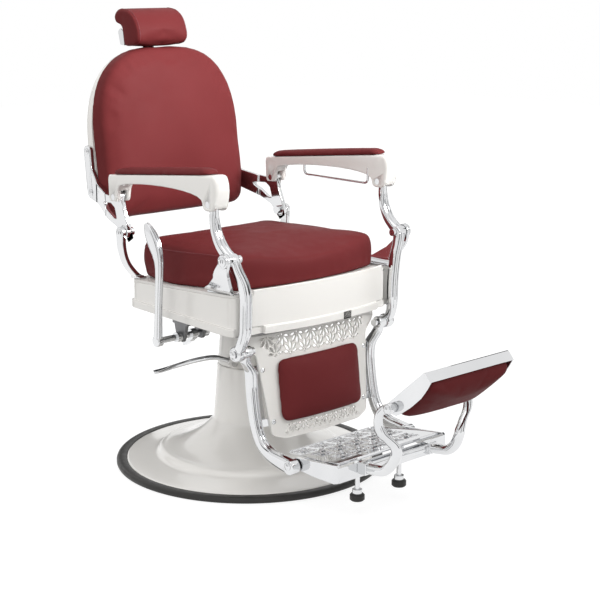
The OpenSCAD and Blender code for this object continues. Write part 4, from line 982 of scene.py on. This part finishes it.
# %% [markdown]
# ### Side bars
#
# The side bar starts at the scroll of the leg, runs down beside the panel and bends forward to the
# footrest, deeper towards its foot. It is swept like the leg, but downwards, so its section is turned over
# to keep the reeds in front. A flat band lies along its inner side, and two lugs reach in behind the panel
# and follow its bow.

# %% Side bars
P_FOOT = (-380, 118)
bar_rows = [(227, -250, 374, 11, 11), (224, -245, 352, 12, 12), (204, -240, 324, 13, 13.5),
            (200, -239, 290, 13, 13.5), (200, -243, 250, 13, 13.5), (200, -251, 205, 13, 13.5),
            (200, -262, 171, 13, 14), (200, -282, 143, 13, 15), (200, -312, 127.5, 13, 16.5),
            (200, -350, 121, 13, 18), (200, *P_FOOT, 13, 18)]
bar_fade = fade_between(0.08, 0.9, 0.06)
side_bar = Shape().shell(swept(bar_rows, lambda t: reeded(bar_fade(t), -1)))
BAND = ((-232, 330), (-231, 290), (-235, 250), (-243, 205), (-250, 181))
band_rows = [(178, y, z, 13, 2.2) for y, z in BAND]
side_bar.shell(swept(band_rows, lambda t: [(-1, 1), (-1, -1), (1, -1), (1, 1)]))
side_bar.turned(P_FOOT, rounded_ends(187, 213, 18, 3))
side_bar.turned(P_SCROLL, rounded_ends(215, 238.7, 15, 2.5))
PANEL_LEAN, PANEL_BOW, PANEL_AT = radians(7), 800.0, (-272.6, 264)
LUG_H, LUG_T, PANEL_T = 9, 4.6, 4.3


def in_panel(x, y, z):
    c, s = cos(PANEL_LEAN), sin(PANEL_LEAN)
    return (x, PANEL_AT[0] + y * c + z * s, PANEL_AT[1] - y * s + z * c)


def bow(x):
    """How far the bowed panel stands back at x."""
    return PANEL_BOW - (PANEL_BOW ** 2 - x * x) ** 0.5


for sx, sz in ((154, -70), (172, 60)):
    lug = []
    for x in (sx - 10, sx, sx + 12, 198):
        y = bow(x) + PANEL_T
        corners = ((y, -LUG_H), (y, LUG_H), (y + LUG_T, LUG_H), (y + LUG_T, -LUG_H))
        lug.append([in_panel(x, v, sz + w) for v, w in corners])
    side_bar.shell(lug)
pair(side_bar, "side_bar_reeded", "side_bar")
print("a side bar has", len(side_bar.verts), "points")

# %% [markdown]
# ### Levers and tray arms
#
# The recline lever is a flat bar with a leaf-shaped grip; the foot lever is a round rod that flattens
# to a tread at its end. The arms of the flip tray are bent tubes. The same sweep makes all of them, because
# a row can widen or flatten the bar wherever its path goes. The foot lever is swept straight back, then
# shifted and turned about the column.

# %% Levers and tray arms
LEVER_X, SHAFT = -305, (-12, 372)
y0, z0 = SHAFT
lever_rows = [(LEVER_X, y0, z0 - 12, 7, 9), (LEVER_X, y0, z0, 9, 11), (LEVER_X, y0 - 4, z0 + 60, 8, 9),
              (LEVER_X, y0 - 9, z0 + 130, 8, 9), (LEVER_X, y0 - 12, z0 + 185, 8, 11),
              (LEVER_X, y0 - 7, z0 + 215, 9, 15), (LEVER_X, y0 + 6, z0 + 242, 10, 19),
              (LEVER_X, y0 + 22, z0 + 266, 9, 16), (LEVER_X, y0 + 36, z0 + 286, 5, 7)]
lever_fade = fade_between(0.06, 0.97, 0.1)
lever = Shape().shell(swept(lever_rows, lambda t: reeded(lever_fade(t), 1)))
lever.turned(SHAFT, rounded_ends(LEVER_X - 8, LEVER_X + 10, 14, 3))
dress(lever.make("recline_lever_bar"), "recline_lever")

PEDAL_TURN, PEDAL_OFF, PEDAL_L = radians(63.4), -76, 204
PEDAL_PIN = (62.6, 285)
y0, z0 = PEDAL_PIN
pedal_rows = [(0, y0, z0, 6.5, 6.5), (0, y0 + 26, z0 + 10, 6.5, 6.5), (0, y0 + 52, z0 + 16, 6.5, 6.5),
              (0, y0 + 96, z0 + 12, 6.5, 6.5), (0, y0 + PEDAL_L * 0.72, z0 + 1, 7.5, 5.5),
              (0, y0 + PEDAL_L * 0.86, z0 - 6, 13.5, 4), (0, y0 + PEDAL_L * 0.96, z0 - 10, 15.5, 3.5),
              (0, y0 + PEDAL_L, z0 - 11, 10.5, 3)]
pedal = Shape().shell(swept(pedal_rows, lambda t: round_bar()))
pedal.turned(PEDAL_PIN, rounded_ends(-8, 8, 12, 2))
for v in pedal.verts:
    x, y, c, s = v.x + PEDAL_OFF, v.y, cos(PEDAL_TURN), sin(PEDAL_TURN)
    v.x, v.y = x * c - y * s, x * s + y * c
dress(pedal.make("pump_lever_rod"), "pump_lever")

BLOCK_X, EYE_X, P_FLIP = 110, 145, (-650, 312)
eye_mid = EYE_X + 8
arm_rows = [(BLOCK_X, -548.3, 135, 13, 13), (BLOCK_X + 1, -566, 137, 13, 13),
            (BLOCK_X + 1, -594, 143, 13, 13), (BLOCK_X, -616, 162, 13, 13),
            (BLOCK_X - 3, -629, 188, 13, 13), (BLOCK_X + 1, -630, 206, 13, 13),
            (BLOCK_X + 16, -625, 224, 12.5, 12.5), (BLOCK_X + 35, -620, 243, 12, 12),
            (eye_mid, -616, 266, 11, 11), (eye_mid + 1, -619, 291, 9, 10), (eye_mid, -634, 308, 7.5, 9),
            (eye_mid, *P_FLIP, 7.5, 8)]
tray_arm = Shape().shell(swept(arm_rows, lambda t: round_bar(36), 8))
tray_arm.turned(P_FLIP, rounded_ends(EYE_X, EYE_X + 16, 12, 2.5))
pair(tray_arm, "tray_arm_tube", "flip_arm")
print("levers and tray arms are swept")

# %% [markdown]
# ## Cushions
#
# A cushion is foam in a tight cover: crowned, with full sides and soft edges, and flat only where it
# rests on its board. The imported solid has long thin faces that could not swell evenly, so it is copied,
# remeshed to even small faces and smoothed. Sizes are in millimetres.

# %% Even faces
def smoothed(mesh, rounds):
    work = bmesh.new()
    work.from_mesh(mesh)
    for _ in range(rounds):
        bmesh.ops.smooth_vert(work, verts=work.verts, factor=0.5,
                              use_axis_x=True, use_axis_y=True, use_axis_z=True)
    bmesh.ops.recalc_face_normals(work, faces=work.faces)
    work.to_mesh(mesh)
    work.free()


def even_copy(node, name, voxel, reshape):
    """A copy of a node with even faces; reshape, if there is one, moves its points first."""
    source = nodes[node].data
    mesh = bpy.data.meshes.new(name)
    points = [reshape(v.co) if reshape else v.co for v in source.vertices]
    mesh.from_pydata(points, [], [tuple(p.vertices) for p in source.polygons])
    obj = bpy.data.objects.new(name, mesh)
    scene.collection.objects.link(obj)
    even = obj.modifiers.new("even faces", "REMESH")
    even.mode = "VOXEL"
    even.voxel_size = voxel * MM
    obj.data = evaluated(obj)
    obj.modifiers.clear()
    return obj


print("even copies are ready")

# %% [markdown]
# ### Filling
#
# Sculpting could round a cushion by hand. A cloth simulation with inner pressure does what foam does: it
# pushes the loose part of the cover out until the cloth holds it. The cushion is drawn in a little first,
# its resting face is held, and every point's move is capped so that the cushion stays in its place.

# %% Filling helper
FRAMES, PRESSURE = 20, 4.0


def fill_cover(obj, kept, cap):
    """Fill the cover; the kept points hold still, and no point moves further than the cap."""
    start = [v.co.copy() for v in obj.data.vertices]
    group = obj.vertex_groups.new(name="resting_face")
    group.add([i for i, keep in enumerate(kept) if keep], 1.0, "REPLACE")
    cloth = obj.modifiers.new("filling", "CLOTH")
    cover = cloth.settings
    cover.quality = 5
    cover.use_pressure = True
    cover.uniform_pressure_force = PRESSURE
    cover.effector_weights.gravity = 0
    cover.vertex_group_mass = group.name
    cloth.collision_settings.use_collision = False
    cloth.point_cache.frame_start, cloth.point_cache.frame_end = 1, FRAMES
    for f in range(1, FRAMES + 1):
        scene.frame_set(f)
    swollen = evaluated(obj)
    obj.modifiers.clear()
    for v, a, b in zip(obj.data.vertices, start, swollen.vertices):
        move = b.co - a
        v.co = a + move * min(1.0, cap * MM / max(move.length, 1e-9))
    bpy.data.meshes.remove(swollen)
    scene.frame_set(1)
    smoothed(obj.data, 2)


print("a filling runs for", FRAMES, "frames")

# %% [markdown]
# ### From solid to cushion
#
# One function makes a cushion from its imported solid: even faces, drawn in a little, filled, and divided once
# more by a Subdivision modifier, because so the cloth can have fewer points and be quick.

# %% Cushion helper
def filled(node, name, held, voxel, cap, draw_in, rounds=3, reshape=None):
    """A filled copy of a node; held tells the points of its resting face."""
    obj = even_copy(node, name, voxel, reshape)
    smoothed(obj.data, rounds)
    kept = [held(v.co.x / MM, v.co.y / MM, v.co.z / MM) for v in obj.data.vertices]
    for v, keep in zip(obj.data.vertices, kept):
        if not keep:
            v.co -= v.normal * draw_in * MM
    fill_cover(obj, kept, cap)
    finer = obj.modifiers.new("finer cover", "SUBSURF")
    finer.levels = finer.render_levels = 1
    obj.data.polygons.foreach_set("use_smooth", [True] * len(obj.data.polygons))
    dress(obj, node)
    print(name, len(obj.data.vertices), "points,", [round(d, 3) for d in obj.dimensions])
    return obj


print("cushion helper is ready")

# %% [markdown]
# ### Fuller covers
#
# Three kinds of cushion are let out before they are filled. The cover of the back stands out over the shell
# at the shoulders and the lower corners, the elbow pads are crowned and reach further forward, and the pad
# of the flip tray swells past the tray's walls. More pressure would round a pad everywhere, so a short
# formula moves the points where each pad is fuller.

# %% Fuller covers
ARM_TILT, ARM_TOP_REAR = atan2(42, 417), (203, 757.4)
TRAY_TILT = radians(41)


def fuller_back(point, shoulder=11.0, foot=13.0, sag=5.0, foot_h=150.0, gain=1.7):
    """The cover of the back stands out over the shell at the shoulders and at the lower corners."""
    x, y, z = point / MM
    up = (y - BACK_AT[0]) * sin(LEAN) + (z - BACK_AT[1]) * cos(LEAN)
    wide = abs(x) / (BACK_W / 2)
    high = max(0.0, up - BACK_RISE) / (BACK_H - BACK_RISE)
    low = max(0.0, 1 - up / foot_h)
    out = shoulder * min(1.0, gain * wide * high) * sin(pi / 4)
    aside = (out + foot * low * wide * wide) * (1 if x > 0 else -1)
    along = out - sag * low
    return point + Vector((aside, along * sin(LEAN), along * cos(LEAN))) * MM


def height_on_arm(y, z):
    return (z - ARM_TOP_REAR[1]) * cos(ARM_TILT) + (y - ARM_TOP_REAR[0]) * sin(ARM_TILT)


def fuller_on_arm(point, longer=16.0, higher=0.45, reach=200.0):
    """The elbow pad is crowned, and its front end reaches the bend of the casting."""
    y, z = point.y / MM, point.z / MM
    ahead = longer * max(0.0, -y / reach)
    up = higher * max(0.0, height_on_arm(y, z))
    c, s = cos(ARM_TILT), sin(ARM_TILT)
    return point + Vector((0, up * s - ahead * c, up * c + ahead * s)) * MM


def height_in_tray(y, z):
    return (y - P_FLIP[0]) * sin(TRAY_TILT) + (z - P_FLIP[1]) * cos(TRAY_TILT)


def fuller_under_tray(point, more=0.45):
    """The pad under the tray swells past the lower edges of the tray's side walls."""
    low = min(0.0, height_in_tray(point.y / MM, point.z / MM))
    return point + Vector((0, sin(TRAY_TILT), cos(TRAY_TILT))) * low * more * MM


print("covers of the back, the arms and the tray can be let out")

# %% [markdown]
# ### The seven cushions
#
# Each cushion says where it rests: below a height, behind a depth or above the tray's floor. That could be
# painted as a vertex group, but a rule in numbers still holds when the faces change. The back is drawn out
# where the others are drawn in, because its cover pulls tighter.

# %% Fill the cushions
RIM_TILT = tan(radians(3.8))
SEAT_REST, BACK_REST, HEAD_REST = 507, 45, 67
PANEL_REST, TRAY_REST, ARM_REST = -3.5, 8, 2.5


def depth_in_back(y, z):
    return (y - BACK_AT[0]) * cos(LEAN) - (z - BACK_AT[1]) * sin(LEAN)


def depth_on_panel(x, y, z):
    return (y - PANEL_AT[0]) * cos(PANEL_LEAN) - (z - PANEL_AT[1]) * sin(PANEL_LEAN) - bow(x)


seat = filled("seat_cushion", "seat_pad", lambda x, y, z: z < SEAT_REST - y * RIM_TILT,
              voxel=6.0, cap=4.0, draw_in=1.2, rounds=2)
back_pad = filled("back_cushion", "back_pad", lambda x, y, z: depth_in_back(y, z) > BACK_REST,
                  voxel=6.0, cap=5.0, draw_in=-2.5, reshape=fuller_back)
head_pad = filled("headrest_pad", "head_roll", lambda x, y, z: depth_in_back(y, z) > HEAD_REST,
                  voxel=4.5, cap=3.5, draw_in=1.2)
leg_pad = filled("legrest_pad", "calf_pad", lambda x, y, z: depth_on_panel(x, y, z) > PANEL_REST,
                 voxel=4.5, cap=5, draw_in=1.5)
foot_pad = filled("flip_cushion", "tray_pad", lambda x, y, z: height_in_tray(y, z) > TRAY_REST,
                  voxel=4.5, cap=4, draw_in=1.5, reshape=fuller_under_tray)
for side in ("right", "left"):
    pad = filled("arm_pad_" + side, "elbow_pad_" + side,
                 lambda x, y, z: height_on_arm(y, z) < ARM_REST,
                 voxel=4.0, cap=3, draw_in=1.0, reshape=fuller_on_arm)

# %% [markdown]
# ### Seams
#
# The cover of the seat is joined along the upper edge of its sides, and the head roll has a seam near
# each end. A plane that cuts the finished cushion gives the line of a seam. Its points are put in order
# by their turn about the middle, and a thin bead follows them on the surface.

# %% Seams on the covers
def cut_line(pad, at, square_to, across, up):
    """Rows of point and normal where a plane cuts the cushion, in order round the cut."""
    work = bmesh.new()
    work.from_mesh(evaluated(pad))
    work.normal_update()
    cut = bmesh.ops.bisect_plane(work, geom=[*work.verts, *work.edges, *work.faces],
                                 plane_co=at, plane_no=square_to)
    found = [v for v in cut["geom_cut"] if isinstance(v, bmesh.types.BMVert)]
    middle = sum((v.co for v in found), Vector()) / len(found)
    found.sort(key=lambda v: atan2((v.co - middle).dot(up), (v.co - middle).dot(across)))
    rows = [Vector((*(v.co / MM), *v.normal)) for v in found]
    work.free()
    return rows


def seam(rows, name, node, radius=1.3):
    line = Shape()
    bead(line, rows, radius, step=5)
    print(name, "follows", len(rows), "points")
    return dress(line.make(name, 60), body=body_of[node], slot="red_upholstery", finish=thread_red)


def there_and_back(rows, under=1.2):
    """An open line as a closed run: out along the surface, and back just under it."""
    back = []
    for row in reversed(rows):
        point, normal = Vector(row[:3]), Vector(row[3:])
        back.append(Vector((*(point - normal * under), *-normal)))
    return rows + back


x_axis, y_axis, z_axis = Vector((1, 0, 0)), Vector((0, 1, 0)), Vector((0, 0, 1))
SEAT_SEAM_Z, HEAD_SEAM_X = 583, 76
SEAM_OUT, SEAM_FRONT = 195, -190
rim_normal = Vector((0, RIM_TILT, 1)).normalized()
round_seat = cut_line(seat, (0, 0, SEAT_SEAM_Z * MM), rim_normal, x_axis, y_axis)
for side, sign in (("right", -1), ("left", 1)):
    rows = [r for r in round_seat if r[0] * sign > SEAM_OUT and r[1] > SEAM_FRONT]
    rows.sort(key=lambda r: r[1])
    seam(there_and_back(rows), "seat_seam_" + side, "seat_cushion")
    round_head = cut_line(head_pad, (HEAD_SEAM_X * sign * MM, 0, 0), x_axis, y_axis, z_axis)
    seam(round_head, "head_seam_" + side, "headrest_pad")
